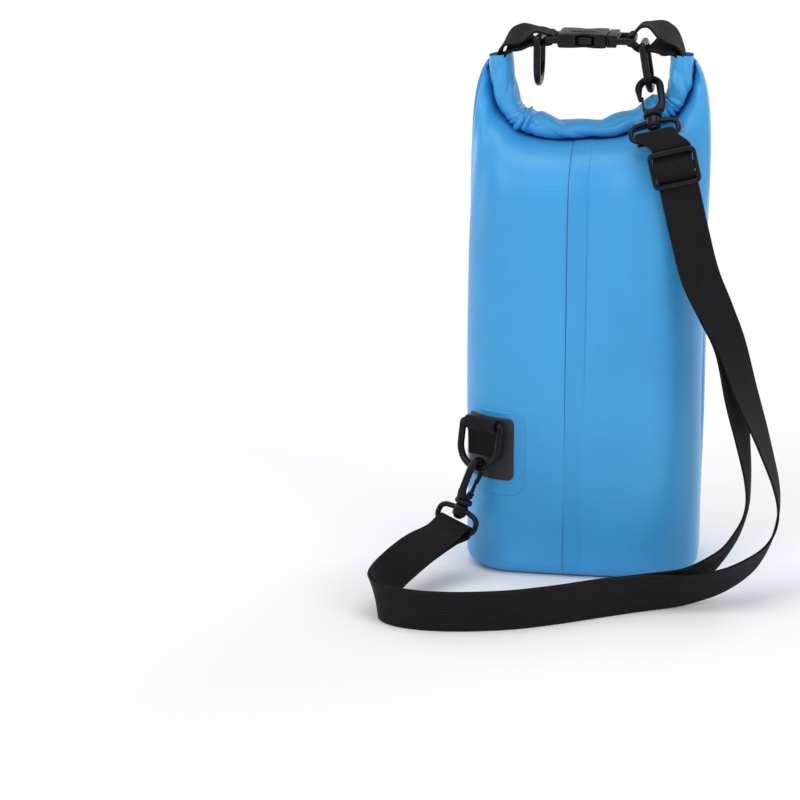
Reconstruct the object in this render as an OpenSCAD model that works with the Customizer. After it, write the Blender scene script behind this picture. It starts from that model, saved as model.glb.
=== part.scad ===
// Roll-top dry bag with a clear phone pocket, a side-release buckle handle and a
// clip-on shoulder strap. Origin: centre of the base panel's underside. +Z is up,
// the pocket faces -Y, the back seam and the strap face +Y.

/* [Bag] */
// Width of the filled bag
bag_w = 154; // [148:1:160]
// Depth of the filled bag at its sides
bag_d = 92; // [88:1:96]
// Corner radius of the bag's cross-section
corner_r = 34; // [30:1:38]
// How far the front and back faces bulge past the sides' depth
bulge = 3; // [0:0.5:4]
// Height at which the walls start to close towards the roll
shoulder_z = 240; // [236:1:244]
// Wall thickness of the coated fabric
wall = 1; // [0.8:0.1:1.2]
// Radius of the turned edge at the base
base_edge_r = 10; // [8:1:12]

/* [Roll] */
// Width of the rolled band, front to back
roll_w = 26; // [24:1:28]
// Half thickness of the roll at its middle
roll_half_t = 6.5; // [6:0.5:7]
// Extra half thickness of the roll at its ends
roll_end_gain = 2.5; // [1:0.5:3]

/* [Phone pocket] */
// Lower edge of the clear opening
pocket_bottom = 24; // [20:1:30]
// Half of the clear opening, measured round the front
pocket_half_arc = 58.5; // [56:0.5:60]
// Width of the welded border
pocket_border = 8; // [6:0.5:9]
// Space behind the card
pocket_gap = 5; // [4.8:0.1:6]

/* [Webbing and rings] */
// Width of the webbing
web_w = 25; // [24:0.5:26]
// Thickness of the webbing
web_t = 1.6; // [1.4:0.1:1.8]
// Radius of the D-rings' wire
ring_r = 2.3; // [2.2:0.1:2.4]
// Outer height of a D-ring
ring_h = 34; // [32:1:36]
// Gap between soft loops and the bars they go round
loop_gap = 0.35; // [0.3:0.05:0.4]

/* [Buckle] */
// Height of the buckle's middle above the ground
buckle_z = 349; // [346:1:352]
// Width of the buckle, front to back
buckle_w = 34; // [33:1:36]
// Thickness of the buckle
buckle_t = 9; // [8:0.5:10]

/* [Hidden] */
$fn = 32;
bag_blue = [0.25, 0.63, 0.87];
strap_black = [0.1, 0.1, 0.12];
plastic_black = [0.14, 0.14, 0.17];

// ---------- Vectors and splines ----------
function unit(v) = v / norm(v);
function across(v, dir) = unit(v - (v * unit(dir)) * unit(dir));
function mix(a, b, k) = a + (b - a) * k;
function knot(p0, p1, p2, p3, k) = 0.5 * (2 * p1 + (p2 - p0) * k
    + (2 * p0 - 5 * p1 + 4 * p2 - p3) * k * k + (3 * p1 - p0 - 3 * p2 + p3) * k * k * k);
function curve_at(keys, x) = let (last = len(keys) - 1, i = min(floor(x), last - 1))
    knot(keys[max(i - 1, 0)], keys[i], keys[i + 1], keys[min(i + 2, last)], x - i);
function curve(keys, steps) = [for (k = [0:(len(keys) - 1) * steps]) curve_at(keys, k / steps)];
function first3(v) = [v[0], v[1], v[2]];
function last3(v) = [v[3], v[4], v[5]];

// ---------- Bag cross-section ----------
// A rounded rectangle, followed from the middle of a face (t = 0) to the middle of a side.
flat_x = bag_w / 2 - corner_r;
flat_y = bag_d / 2 - corner_r;
corner_arc = corner_r * PI / 2;
quarter = flat_x + corner_arc + flat_y;
function swell(x) = bulge * cos(90 * min(1, abs(x) / (bag_w / 2)));
function quarter_point(t, d) = t <= flat_x ? [t, flat_y + corner_r + d]
    : t <= flat_x + corner_arc ? let (a = (t - flat_x) / corner_r * 180 / PI)
        [flat_x + (corner_r + d) * sin(a), flat_y + (corner_r + d) * cos(a)]
    : [flat_x + corner_r + d, quarter - t];
// side is 1 on the back and -1 on the front; d moves the outline out of the bag.
function wall_point(t, side, d) = let (q = quarter_point(min(abs(t), quarter), d))
    [sign(t) * q.x, side * (q.y + (q.y > 0.01 ? swell(q.x) : 0))];

// ---------- Roll path, from the -X ear to the +X ear ----------
roll_keys = [[-58, 0, 340], [-57, 0, 322], [-52, 0, 306], [-41, 0, 296], [-22, 0, 289],
    [0, 0, 286], [22, 0, 285.5], [41, 0, 288.5], [51.5, 0, 300], [57, 0, 319], [59.5, 0, 338]];
function roll_at(s) = curve_at(roll_keys, (s + 1) / 2 * (len(roll_keys) - 1));
function roll_dir(s) = unit(roll_at(min(s + 0.02, 1)) - roll_at(max(s - 0.02, -1)));
function roll_out(s) = let (d = roll_dir(s)) [d.z, 0, -d.x];
function roll_half(s) = roll_half_t + roll_end_gain * abs(s);

// ---------- Bag wall ----------
mouth_half = 4;
shoulder_rise = 26;
shoulder_rows = 8;
function mouth_point(s, side, d) =
    roll_at(s) + roll_out(s) * (roll_half(s) - 2) + [0, side * (mouth_half + d) * (1 - abs(s) * 0.2), 0];
function shoulder_point(t, side, d, k) = let (
        s = t / quarter,
        w = wall_point(t, side, d),
        p0 = [w.x, w.y, shoulder_z],
        p1 = p0 + [0, 0, shoulder_rise],
        p3 = mouth_point(s, side, d),
        p2 = [mix(p3.x, w.x, 0.35), w.y * 0.52, p3.z - 3 - 36 * s * s])
    p0 * pow(1 - k, 3) + 3 * p1 * k * pow(1 - k, 2) + 3 * p2 * k * k * (1 - k) + p3 * pow(k, 3);

columns_half = concat([for (k = [0, 0.25, 0.5, 0.74, 0.87, 1]) k * pocket_half_arc],
    [for (k = [1:5]) mix(pocket_half_arc, quarter, k / 5)]);
n_half = len(columns_half) - 1;
columns = concat([for (i = [n_half:-1:0]) [columns_half[i], 1]], [for (i = [1:n_half]) [-columns_half[i], 1]],
    [for (i = [n_half - 1:-1:0]) [-columns_half[i], -1]], [for (i = [1:n_half - 1]) [columns_half[i], -1]]);
edge_rows = 4;
side_rows = 4;
function shell_row(d, j) =
    j < edge_rows ? let (a = 90 * j / edge_rows, z = base_edge_r * (1 - cos(a)))
        [for (c = columns) let (w = wall_point(c[0], c[1], d - base_edge_r * (1 - sin(a)))) [w.x, w.y, z]]
    : j <= edge_rows + 1 + side_rows ? let (k = j - edge_rows - 1,
            z = k < 0 ? base_edge_r : mix(pocket_bottom, shoulder_z, k / side_rows))
        [for (c = columns) let (w = wall_point(c[0], c[1], d)) [w.x, w.y, z]]
    : let (k = (j - edge_rows - 1 - side_rows) / shoulder_rows)
        [for (c = columns) shoulder_point(c[0], c[1], d, k)];
n_rows = edge_rows + 2 + side_rows + shoulder_rows;
n_cols = len(columns);
function in_pocket(i, j) = columns[i][1] < 0 && columns[(i + 1) % n_cols][1] < 0
    && abs(columns[i][0]) < pocket_half_arc + 0.1 && abs(columns[(i + 1) % n_cols][0]) < pocket_half_arc + 0.1
    && j > edge_rows && j <= edge_rows + side_rows;

module bag_shell() {
    outer = [for (j = [0:n_rows - 1]) each shell_row(0, j)];
    inner = [for (j = [0:n_rows - 1]) each shell_row(-wall, j)];
    function at(i, j) = j * n_cols + (i % n_cols + n_cols) % n_cols;
    m = n_rows * n_cols;
    walls = [for (j = [0:n_rows - 2]) for (i = [0:n_cols - 1]) if (!in_pocket(i, j))
        each [[at(i, j), at(i, j + 1), at(i + 1, j + 1)], [at(i, j), at(i + 1, j + 1), at(i + 1, j)],
            [m + at(i, j), m + at(i + 1, j + 1), m + at(i, j + 1)],
            [m + at(i, j), m + at(i + 1, j), m + at(i + 1, j + 1)]]];
    function rim(a, b) = [[a, b, m + b], [a, m + b, m + a]];
    ends = [for (i = [0:n_cols - 1])
        each concat(rim(at(i, 0), at(i + 1, 0)), rim(at(i + 1, n_rows - 1), at(i, n_rows - 1)))];
    hole = [for (j = [0:n_rows - 2]) for (i = [0:n_cols - 1]) if (in_pocket(i, j)) each concat(
        in_pocket(i, j - 1) ? [] : rim(at(i + 1, j), at(i, j)),
        in_pocket(i, j + 1) ? [] : rim(at(i, j + 1), at(i + 1, j + 1)),
        in_pocket((i + n_cols - 1) % n_cols, j) ? [] : rim(at(i, j), at(i, j + 1)),
        in_pocket((i + 1) % n_cols, j) ? [] : rim(at(i + 1, j + 1), at(i + 1, j)))];
    color(bag_blue) polyhedron(concat(outer, inner), concat(walls, ends, hole));
}

// Outline of the section offset by d, as one polygon.
module section(d) polygon([for (c = columns) wall_point(c[0], c[1], d)]);

module base_panel() color(bag_blue) linear_extrude(1.2) section(-base_edge_r - wall - 0.3);

// ---------- Sweeps ----------
// Joins rings of points into one closed solid.
module skin(rings) {
    n = len(rings[0]);
    m = len(rings);
    sides = [for (j = [0:m - 2]) for (i = [0:n - 1]) let (a = j * n + i, b = j * n + (i + 1) % n)
        each [[a, a + n, b + n], [a, b + n, b]]];
    caps = [[for (i = [0:n - 1]) i], [for (i = [n - 1:-1:0]) (m - 1) * n + i]];
    polyhedron([for (r = rings) each r], concat(sides, caps));
}

// A flat band along keys of [x, y, z, wx, wy, wz], where w points along its width.
// slant lets the webbing run aslant between two bars without turning across its own width.
module band(keys, width, thickness, steps, slant = false) {
    path = curve(keys, steps);
    last = len(path) - 1;
    skin([for (i = [0:last]) let (
            c = first3(path[i]),
            dir = unit(first3(path[min(i + 1, last)]) - first3(path[max(i - 1, 0)])),
            w = slant ? unit(last3(path[i])) : across(last3(path[i]), dir),
            n = unit(cross(dir, w)),
            a = w * width / 2,
            b = n * thickness / 2)
        [c + a + b, c - a + b, c - a - b, c + a - b]]);
}

// The same band moved sideways along its own normal, as a new list of keys.
function lifted(keys, lift) = [for (i = [0:len(keys) - 1]) let (
        dir = unit(first3(keys[min(i + 1, len(keys) - 1)]) - first3(keys[max(i - 1, 0)])),
        n = cross(dir, across(last3(keys[i]), dir)))
    concat(first3(keys[i]) + n * lift, last3(keys[i]))];

roll_sides = 16;
roll_rings = 30;
module roll_top() color(bag_blue) skin([for (j = [0:roll_rings]) let (
        s = 2 * j / roll_rings - 1, c = roll_at(s), out = roll_out(s), h = roll_half(s))
    [for (i = [0:roll_sides - 1]) let (a = -360 * i / roll_sides)
        c + out * h * sign(sin(a)) * pow(abs(sin(a)), 0.8)
            + [0, roll_w / 2 * sign(cos(a)) * pow(abs(cos(a)), 0.6), 0]]]);

module stiffener_strip() color(strap_black)
    band([for (k = roll_keys) concat(k, [0, 1, 0])], roll_w - 8, 0.9, 2);

// ---------- Back seam and phone pocket ----------
module band_wall(d0, d1) difference() { section(d1); section(d0); }

seam_w = 13;
seam_x = 1.3;
module back_seam() color(bag_blue) translate([0, 0, base_edge_r]) linear_extrude(shoulder_z - base_edge_r)
    intersection() {
        band_wall(0.05, 0.9);
        translate([seam_x - seam_w / 2, 0]) square([seam_w, bag_d]);
    }

module rounded(w, h, r) {
    square([w - 2 * r, h], center = true);
    square([w, h - 2 * r], center = true);
    for (x = [-1, 1]) for (y = [-1, 1]) translate([x * (w / 2 - r), y * (h / 2 - r)]) circle(r);
}
pocket_h = shoulder_z - pocket_bottom;
pocket_mid_z = (shoulder_z + pocket_bottom) / 2;
pocket_half_x = wall_point(pocket_half_arc, 1, 0).x;
frame_half_x = wall_point(pocket_half_arc + pocket_border, 1, 0).x;
// A rounded window of the front wall, w wide and h tall, between two offsets of the section.
module front_piece(w, h, r, d0, d1) intersection() {
    translate([0, 0, pocket_mid_z - h / 2]) linear_extrude(h) band_wall(d0, d1);
    translate([0, 0, pocket_mid_z]) rotate([90, 0, 0]) linear_extrude(bag_d) rounded(w, h, r);
}
module pocket_frame() color(bag_blue) difference() {
    front_piece(2 * frame_half_x, pocket_h + 2 * pocket_border, 20, 0.05, 1.6);
    translate([0, 0, pocket_mid_z]) rotate([90, 0, 0])
        linear_extrude(bag_d) rounded(2 * pocket_half_x, pocket_h, 14);
}
module pocket_window() color([0.8, 0.86, 0.92, 0.4])
    front_piece(2 * pocket_half_x - 1, pocket_h - 1, 3, -0.8, -0.2);
card_depth = 2.2;
module insert_card() color([0.9, 0.89, 0.94]) front_piece(108, 206, 8, -card_depth, -card_depth + 0.6);
module pocket_back() color([0.12, 0.2, 0.36]) {
    back = card_depth + pocket_gap;
    w = 2 * pocket_half_x + 5;
    h = pocket_h + 10;
    front_piece(w, h, 4, -back - 0.8, -back);
    difference() {
        front_piece(w, h, 4, -back - 0.4, -wall - 0.1);
        translate([0, 0, pocket_mid_z + 2]) rotate([90, 0, 0])
            linear_extrude(bag_d) square([w - 1.8, h - 1.2 + 4], center = true);
    }
}

// ---------- Welded tab for the lower D-ring ----------
tab_angle = 30;
tab_z = 86;
// Local frame on the rounded corner: X along the wall, Y out of it.
module at_tab() translate([flat_x + corner_r * sin(tab_angle), flat_y + corner_r * cos(tab_angle)
    + swell(flat_x + corner_r * sin(tab_angle)), 0]) rotate([0, 0, -tab_angle]) children();
module tab_piece(w, h, r, d0, d1, dz) intersection() {
    translate([0, 0, tab_z + dz - h / 2]) linear_extrude(h) band_wall(d0, d1);
    at_tab() translate([0, 20, tab_z + dz]) rotate([90, 0, 0]) linear_extrude(40) rounded(w, h, r);
}
module base_patch() color(bag_blue) tab_piece(62, 68, 9, 0.05, 0.75, -5);
module tab_patch() color(strap_black) tab_piece(37, 42, 4, 0.85, 1.8, 0);

tab_ring_z = 103;
tab_ring_y = 6.6;
tab_loop_r = ring_r + loop_gap + web_t;
// Lowest point of the webbing, above the hook that hangs in front of it.
tab_low = 80;
module tab_webbing() color(strap_black) at_tab() difference() {
    union() {
        translate([-web_w / 2, tab_ring_y, tab_ring_z]) rotate([0, 90, 0]) cylinder(web_w, r = tab_loop_r);
        translate([-web_w / 2, tab_ring_y - tab_loop_r, tab_low]) cube([web_w, web_t, tab_ring_z - tab_low]);
    }
    translate([-web_w, tab_ring_y, tab_ring_z]) rotate([0, 90, 0]) cylinder(2 * web_w, r = ring_r + loop_gap);
}

// ---------- D-rings ----------
// Straight bar along X through the origin, the bow hangs down towards -Z.
ring_w = 35;
bow_r = ring_w / 2 - ring_r;
leg_h = ring_h - 2 * ring_r - bow_r;
module d_ring() color(plastic_black) {
    translate([-bow_r, 0, 0]) rotate([0, 90, 0]) cylinder(2 * bow_r, r = ring_r);
    for (x = [-bow_r, bow_r]) {
        translate([x, 0, 0]) sphere(ring_r);
        translate([x, 0, -leg_h]) cylinder(leg_h, r = ring_r);
    }
    translate([0, 0, -leg_h]) rotate([90, 0, 0]) rotate([0, 0, 180])
        rotate_extrude(angle = 180) translate([bow_r, 0]) circle(ring_r);
}
left_bar = [34, 0, 349.3];
right_bar = [-33, 0, 346];
right_lean = 10;
lower_lean = 10;
module d_ring_left() translate(left_bar) rotate([0, 0, 90]) d_ring();
module d_ring_right() translate(right_bar) rotate([0, right_lean, 0]) rotate([0, 0, 90]) d_ring();
module d_ring_lower() at_tab() translate([0, tab_ring_y, tab_ring_z]) rotate([lower_lean, 0, 0]) d_ring();

// ---------- Handle webbing ----------
// A strip of webbing in the XZ plane through [x, z] points, as wide as web_w along Y.
module web_strip(points) let (path = curve([for (p = points) [p[0], 0, p[1]]], 6))
    rotate([90, 0, 0]) translate([0, 0, -web_w / 2]) linear_extrude(web_w)
        polygon(concat([for (i = [0:len(path) - 1]) edge_point(path, i, web_t / 2)],
            [for (i = [len(path) - 1:-1:0]) edge_point(path, i, -web_t / 2)]));
function edge_point(path, i, off) = let (last = len(path) - 1,
        d = unit(path[min(i + 1, last)] - path[max(i - 1, 0)]))
    [path[i].x - d.z * off, path[i].z + d.x * off];
// Loop of webbing round a bar of half size [hx, hz] at [x, z]; r rounds its inner corners.
module web_loop(x, z, hx, hz, r) translate([x, web_w / 2, z]) rotate([90, 0, 0]) linear_extrude(web_w)
    difference() {
        rounded(2 * (hx + loop_gap + web_t), 2 * (hz + loop_gap + web_t), r + web_t);
        rounded(2 * (hx + loop_gap), 2 * (hz + loop_gap), r);
    }

bar_half_t = 2;
female_end = 29.5;
male_end = -28;
seam_at = -10;
module webbing_left() color(strap_black) difference() {
    union() {
        web_strip([[60, 332], [58.5, 343], [53, 351], [44, 354.3], [left_bar.x + 1, 352.6]]);
        web_loop(left_bar.x, left_bar.z, ring_r + 0.1, ring_r + 0.1, ring_r);
        web_loop(female_end - bar_half_t - 0.2, buckle_z, bar_half_t + 0.2, bar_half_t, loop_gap);
    }
    translate(left_bar) rotate([90, 0, 0]) cylinder(2 * web_w, r = ring_r + loop_gap, center = true);
}
module webbing_right() color(strap_black) difference() {
    union() {
        web_strip([[-58.5, 334], [-58, 345], [-52, 354], [-42, 358.7], [-32, 358.2], [-25.5, 352.8]]);
        web_strip([[-57, 345.5], [-47, 346.5], [right_bar.x - 3, 349.2]]);
        web_loop(right_bar.x, right_bar.z, ring_r + 0.1, ring_r + 0.1, ring_r);
        web_loop(male_end + bar_half_t + 0.2, buckle_z, bar_half_t + 0.2, bar_half_t, loop_gap);
    }
    translate(right_bar) rotate([90, 0, 0]) cylinder(2 * web_w, r = ring_r + loop_gap, center = true);
}

// ---------- Side-release buckle ----------
slot_half_y = 13.6;
cavity_half_y = 13.5;
cavity_half_z = 2.6;
slot_w = 6.4;
prong_half_t = 2.2;
// Plate in the XY plane from x0 to x1 with rounded corners, centred on the buckle's height.
module plate(x0, x1, half_y, half_z, r) translate([(x0 + x1) / 2, 0, buckle_z - half_z])
    linear_extrude(2 * half_z) rounded(x1 - x0, 2 * half_y, r);
module block(x0, x1, half_y, half_z) translate([x0, -half_y, buckle_z - half_z])
    cube([x1 - x0, 2 * half_y, 2 * half_z]);
module buckle_female() color(plastic_black) difference() {
    union() {
        plate(seam_at, 21, buckle_w / 2, buckle_t / 2, 3);
        plate(14, female_end, buckle_w / 2, bar_half_t, 3);
    }
    block(seam_at - 1, 14, cavity_half_y, cavity_half_z);
    block(-1.5, 10, buckle_w, cavity_half_z);
    block(female_end - 2 * bar_half_t - slot_w, female_end - 2 * bar_half_t, slot_half_y, buckle_t);
}
module buckle_male() color(plastic_black) {
    difference() {
        plate(male_end, seam_at - 0.3, buckle_w / 2, bar_half_t, 3);
        block(male_end + 2 * bar_half_t, male_end + 2 * bar_half_t + slot_w, slot_half_y, buckle_t);
    }
    difference() {
        plate(-16.5, seam_at - 0.3, buckle_w / 2, buckle_t / 2 - 0.5, 1);
        block(-30, -14, slot_half_y, buckle_t);
    }
    block(seam_at - 1, 12, 2.4, prong_half_t);
}
// Springy arm with its head in the side window; flip is 1 on the back side.
prong_root = [-8.4, 8.9];
module prong(flip) color(plastic_black) translate([0, 0, buckle_z - prong_half_t]) linear_extrude(2 * prong_half_t) {
    translate([prong_root.x, flip * prong_root.y]) circle(1.5);
    polygon([[prong_root.x + 0.4, flip * 7.5], [prong_root.x + 0.4, flip * 10.3],
        [-2, flip * 11.6], [-0.8, flip * 16.4], [4, flip * 17], [8.6, flip * 15], [10.8, flip * 11],
        [10.8, flip * 8.2], [4, flip * 8.4]]);
}
module prong_front() prong(-1);
module prong_back() prong(1);

// ---------- Snap hooks ----------
// Local frame: X towards the spine, Z from the boss up to the eye, origin at the eye's centre.
eye_r = 7;
hook_r = 2.4;
shank_r = 1.8;
hub_top = -24.2;
hub_h = 8;
ring_bar_z = -40;
module place(at, ex, ez) let (z = unit(ez), x = across(ex, z), y = cross(z, x))
    multmatrix([[x[0], y[0], z[0], at[0]], [x[1], y[1], z[1], at[1]], [x[2], y[2], z[2], at[2]], [0, 0, 0, 1]])
        children();
module hook() color(plastic_black) {
    rotate([90, 0, 0]) rotate_extrude(angle = 180) translate([eye_r, 0]) circle(hook_r);
    translate([eye_r, 0, -17]) cylinder(17, r = hook_r);
    translate([-eye_r, 0, -8]) cylinder(8, r1 = 1.5, r2 = hook_r);
    translate([eye_r, 0, -17]) sphere(hook_r);
    translate([0, 0, -19]) rotate([90, 0, 0]) linear_extrude(2 * hook_r, center = true)
        polygon([[-5, -1.5], [-5, 0], [0, 1.2], [eye_r - 1, 4], [eye_r + 2.2, 2], [eye_r - 1, -1.5]]);
    translate([0, 0, -23.9]) cylinder(3.6, r = 6);
    translate([0, 0, hub_top - hub_h - 1.4]) cylinder(hub_h + 2, r = shank_r);
    translate([0, 0, hub_top - hub_h - 1.6]) cylinder(1.3, r = 3);
}
module gate() color(plastic_black) {
    translate([-4.9, 0, -16.4]) rotate([90, 0, 0]) cylinder(4, r = 0.9, center = true);
    translate([-4.9, 0, -16.4]) rotate([0, 4, 0]) translate([-0.7, -1.6, 0]) cube([1.4, 3.2, 9.4]);
}
// Base of the hook: a hub round the shank and a flat loop for the webbing.
loop_w = 34;
loop_h = 15.6;
loop_bar = 3.6;
module swivel() color(plastic_black) difference() {
    union() {
        translate([0, 0, hub_top - hub_h]) cylinder(hub_h, r = 4.6);
        translate([0, 0, ring_bar_z - loop_bar / 2 + loop_h / 2]) rotate([90, 0, 0])
            linear_extrude(loop_bar, center = true) difference() {
                rounded(loop_w, loop_h, 5);
                rounded(loop_w - 2 * loop_bar, loop_h - 2 * loop_bar, 3);
            }
    }
    translate([0, 0, hub_top - hub_h - 1]) cylinder(hub_h + 2, r = shank_r + 0.08);
    translate([0, 0, hub_top - hub_h - 4]) cylinder(4.01, r = 3.6);
}

upper_at = [-37.8, 10.8, 319.1];
upper_axis = unit([0.165, -0.721, 0.67]);
upper_side = [-0.969, 0.009, 0.248];
module upper_hook() place(upper_at, upper_side, upper_axis) hook();
module upper_gate() place(upper_at, upper_side, upper_axis) gate();
module upper_swivel() place(upper_at, upper_side, upper_axis) swivel();

lower_axis = unit([-0.339, -0.144, 0.93]);
lower_side = [0.5, 0.866, 0];
lower_bar_side = [0.85, -0.47, 0.237];
lower_wire = [flat_x + corner_r * sin(tab_angle), flat_y + corner_r * cos(tab_angle)
        + swell(flat_x + corner_r * sin(tab_angle)), 0]
    + lower_side * (tab_ring_y + (ring_h - 2 * ring_r) * sin(lower_lean))
    + [0, 0, tab_ring_z - (ring_h - 2 * ring_r) * cos(lower_lean)];
lower_at = lower_wire - lower_axis * 1.9;
module lower_hook() place(lower_at, lower_side, lower_axis) hook();
module lower_gate() place(lower_at, lower_side, lower_axis) gate();
module lower_swivel() place(lower_at, lower_bar_side, lower_axis) swivel();

// ---------- Slider ----------
slider_at = [-57.5, 54, 275.7];
slider_axis = unit([0.24, -0.05, 0.969]);
slider_w = 31;
slider_h = 24;
slider_t = 3.4;
module strap_slider() color(plastic_black) place(slider_at, upper_side, slider_axis)
    translate([0, slider_t / 2, 0]) rotate([90, 0, 0]) linear_extrude(slider_t) difference() {
        rounded(slider_w, slider_h, 4);
        for (m = [-1, 1]) translate([0, m * 5.4]) square([25.8, 6.8], center = true);
    }

// ---------- Shoulder strap ----------
// Keys are [x, y, z] on the strap's centre line, then the direction of its width.
upper_bar = upper_at + upper_axis * ring_bar_z;
function on_slider(x, y, z) = let (ez = slider_axis, ex = across(upper_side, ez), ey = cross(ez, ex))
    slider_at + ex * x + ey * y + ez * z;
slider_w_dir = across(-upper_side, slider_axis);
bend_gap = 0.8;
bend_r = 1.8 * sqrt(2) + bend_gap + web_t / 2;
// Path round a swivel's bar; away points from the webbing's legs to the bar, face to the side it starts on.
function bend(bar, away, face, w_dir) =
    [for (a = [-20:44:200]) concat(bar + face * bend_r * cos(a) + away * bend_r * sin(a), w_dir)];
// Key on a leg of that path, out from the bar and to one side.
function leg(bar, away, face, w_dir, out, side) = [concat(bar - away * out + face * side, w_dir)];
upper_back = cross(upper_axis, across(upper_side, upper_axis));
upper_bar_dir = across(-upper_side, upper_axis);
top_loop = concat(
    leg(upper_bar, upper_axis, upper_back, upper_bar_dir, 9.5, 2.6),
    leg(upper_bar, upper_axis, upper_back, upper_bar_dir, 5.5, 3.1),
    bend(upper_bar, upper_axis, upper_back, upper_bar_dir),
    leg(upper_bar - upper_bar_dir * 3.4, upper_axis, upper_back, unit(upper_bar_dir + slider_w_dir), 5, -3.7),
    [for (p = [[3.4, 13.5], [2.9, 8.6], [-2.2, 3.6], [-3.3, 0], [-2.2, -3.6], [2.6, -8.6], [2.6, -13.5]])
        concat(on_slider(0, p[0], p[1]), slider_w_dir)]);
top_run = [
    [-68.9, 53, 230, 0.97, 0.05, -0.23],
    [-76, 55, 207, 0.93, 0.3, -0.2],
    [-86.6, 57.5, 185.5, 0.8, 0.57, -0.2],
    [-96.7, 60, 164, 0.65, 0.74, -0.2]];
front_start = [concat(on_slider(0, 2.6, -14.3), slider_w_dir)];
back_start = [for (z = [-5, -13.5]) concat(on_slider(0, 5.3, z), slider_w_dir)];
front_drop = [
    [-107, 62, 134, 0.5, 0.85, -0.1],
    [-119, 66, 103, 0.3, 0.93, 0.1],
    [-129, 71, 72, 0.1, 0.92, 0.3],
    [-129, 76, 50, -0.1, 0.8, 0.55],
    [-119, 82, 32, -0.3, 0.55, 0.78],
    [-100, 89, 19, -0.3, 0.45, 0.84],
    [-75, 98, 13, -0.15, 0.35, 0.92]];
back_drop = [
    [-101, 61, 130, 0.5, 0.85, -0.1],
    [-106, 63, 103, 0.3, 0.93, 0.1],
    [-110, 67, 78, 0.1, 0.93, 0.2],
    [-110, 71, 60, 0, 0.88, 0.4],
    [-104, 77, 44, -0.15, 0.68, 0.7],
    [-92, 84, 29, -0.3, 0.5, 0.8],
    [-72, 93, 17, -0.2, 0.4, 0.88]];
ground_run = [
    [-48, 108, 12.6, 0, 0.12, 0.99],
    [-23, 122, 12.6, 0, 0, 1],
    [5, 140, 12.6, 0, 0, 1]];
ground_rest = [
    [5.5, 140.3, 12.6, 0, 0, 1],
    [35, 155, 12.6, 0, 0, 1],
    [70, 163, 12.6, 0, 0, 1],
    [97, 161, 12.6, 0, 0, 1],
    [113, 151, 13, 0, 0.02, 1],
    [118, 137, 15, -0.25, 0.1, 0.96],
    [114, 120, 19, -0.55, 0.25, 0.8],
    [107, 104, 23, -0.75, 0.38, 0.54],
    [98, 87, 27, -0.84, 0.43, 0.2]];
layer = 2.6;
run_steps = 4;
lower_bar = lower_at + lower_axis * ring_bar_z;
lower_bar_dir = across(-lower_bar_side, lower_axis);
lower_away = across(lower_bar - first3(ground_rest[len(ground_rest) - 1]), lower_bar_dir);
lower_face = cross(lower_bar_dir, lower_away);
lower_bend = concat(
    leg(lower_bar, lower_away, lower_face, lower_bar_dir, 14, 1.7),
    leg(lower_bar, lower_away, lower_face, lower_bar_dir, 5.5, 3.1),
    bend(lower_bar, lower_away, lower_face, lower_bar_dir),
    leg(lower_bar, lower_away, lower_face, lower_bar_dir, 5.5, -3.1),
    leg(lower_bar, lower_away, lower_face, lower_bar_dir, 14, -1.7));
function reversed(list) = [for (i = [len(list) - 1:-1:0]) list[i]];

module strap_top_loop() color(strap_black) band(top_loop, web_w, web_t, run_steps, true);
module strap_front_run() color(strap_black)
    band(concat(front_start, top_run, front_drop, ground_run), web_w, web_t, run_steps);
module strap_back_run() color(strap_black) band(
    concat(back_start, lifted(top_run, layer), back_drop, lifted(ground_run, layer)), web_w, web_t, run_steps);
module strap_lower_loop() color(strap_black)
    band(concat(ground_rest, lower_bend, reversed(lifted(ground_rest, layer))), web_w, web_t, run_steps);

bag_shell();
base_panel();
roll_top();
stiffener_strip();
back_seam();
pocket_frame();
pocket_window();
pocket_back();
insert_card();
base_patch();
tab_patch();
tab_webbing();
webbing_left();
webbing_right();
buckle_male();
prong_front();
prong_back();
buckle_female();
d_ring_left();
d_ring_right();
upper_swivel();
upper_hook();
upper_gate();
strap_slider();
strap_top_loop();
d_ring_lower();
lower_swivel();
lower_hook();
lower_gate();
strap_front_run();
strap_back_run();
strap_lower_loop();
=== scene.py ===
"""Looks of the roll-top dry bag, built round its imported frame. Lengths in the code are millimetres."""

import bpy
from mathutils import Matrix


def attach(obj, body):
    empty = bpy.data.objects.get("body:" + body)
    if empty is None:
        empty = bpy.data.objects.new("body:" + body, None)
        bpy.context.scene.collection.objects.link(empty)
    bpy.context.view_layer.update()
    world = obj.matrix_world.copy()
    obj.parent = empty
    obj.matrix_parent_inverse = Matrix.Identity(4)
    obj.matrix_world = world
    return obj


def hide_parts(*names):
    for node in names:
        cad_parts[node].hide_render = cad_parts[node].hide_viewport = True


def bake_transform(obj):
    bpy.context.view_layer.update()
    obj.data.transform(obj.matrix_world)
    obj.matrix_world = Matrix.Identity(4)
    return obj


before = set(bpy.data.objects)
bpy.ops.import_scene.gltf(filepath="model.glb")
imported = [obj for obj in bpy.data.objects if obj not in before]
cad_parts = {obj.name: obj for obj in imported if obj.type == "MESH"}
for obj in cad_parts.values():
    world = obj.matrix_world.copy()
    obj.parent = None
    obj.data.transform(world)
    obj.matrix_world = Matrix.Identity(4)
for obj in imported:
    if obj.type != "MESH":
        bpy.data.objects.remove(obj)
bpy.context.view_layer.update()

import math

import bmesh
import bpy
import numpy as np
from mathutils import Matrix, Vector

MM = 0.001
PI = math.pi

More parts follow.
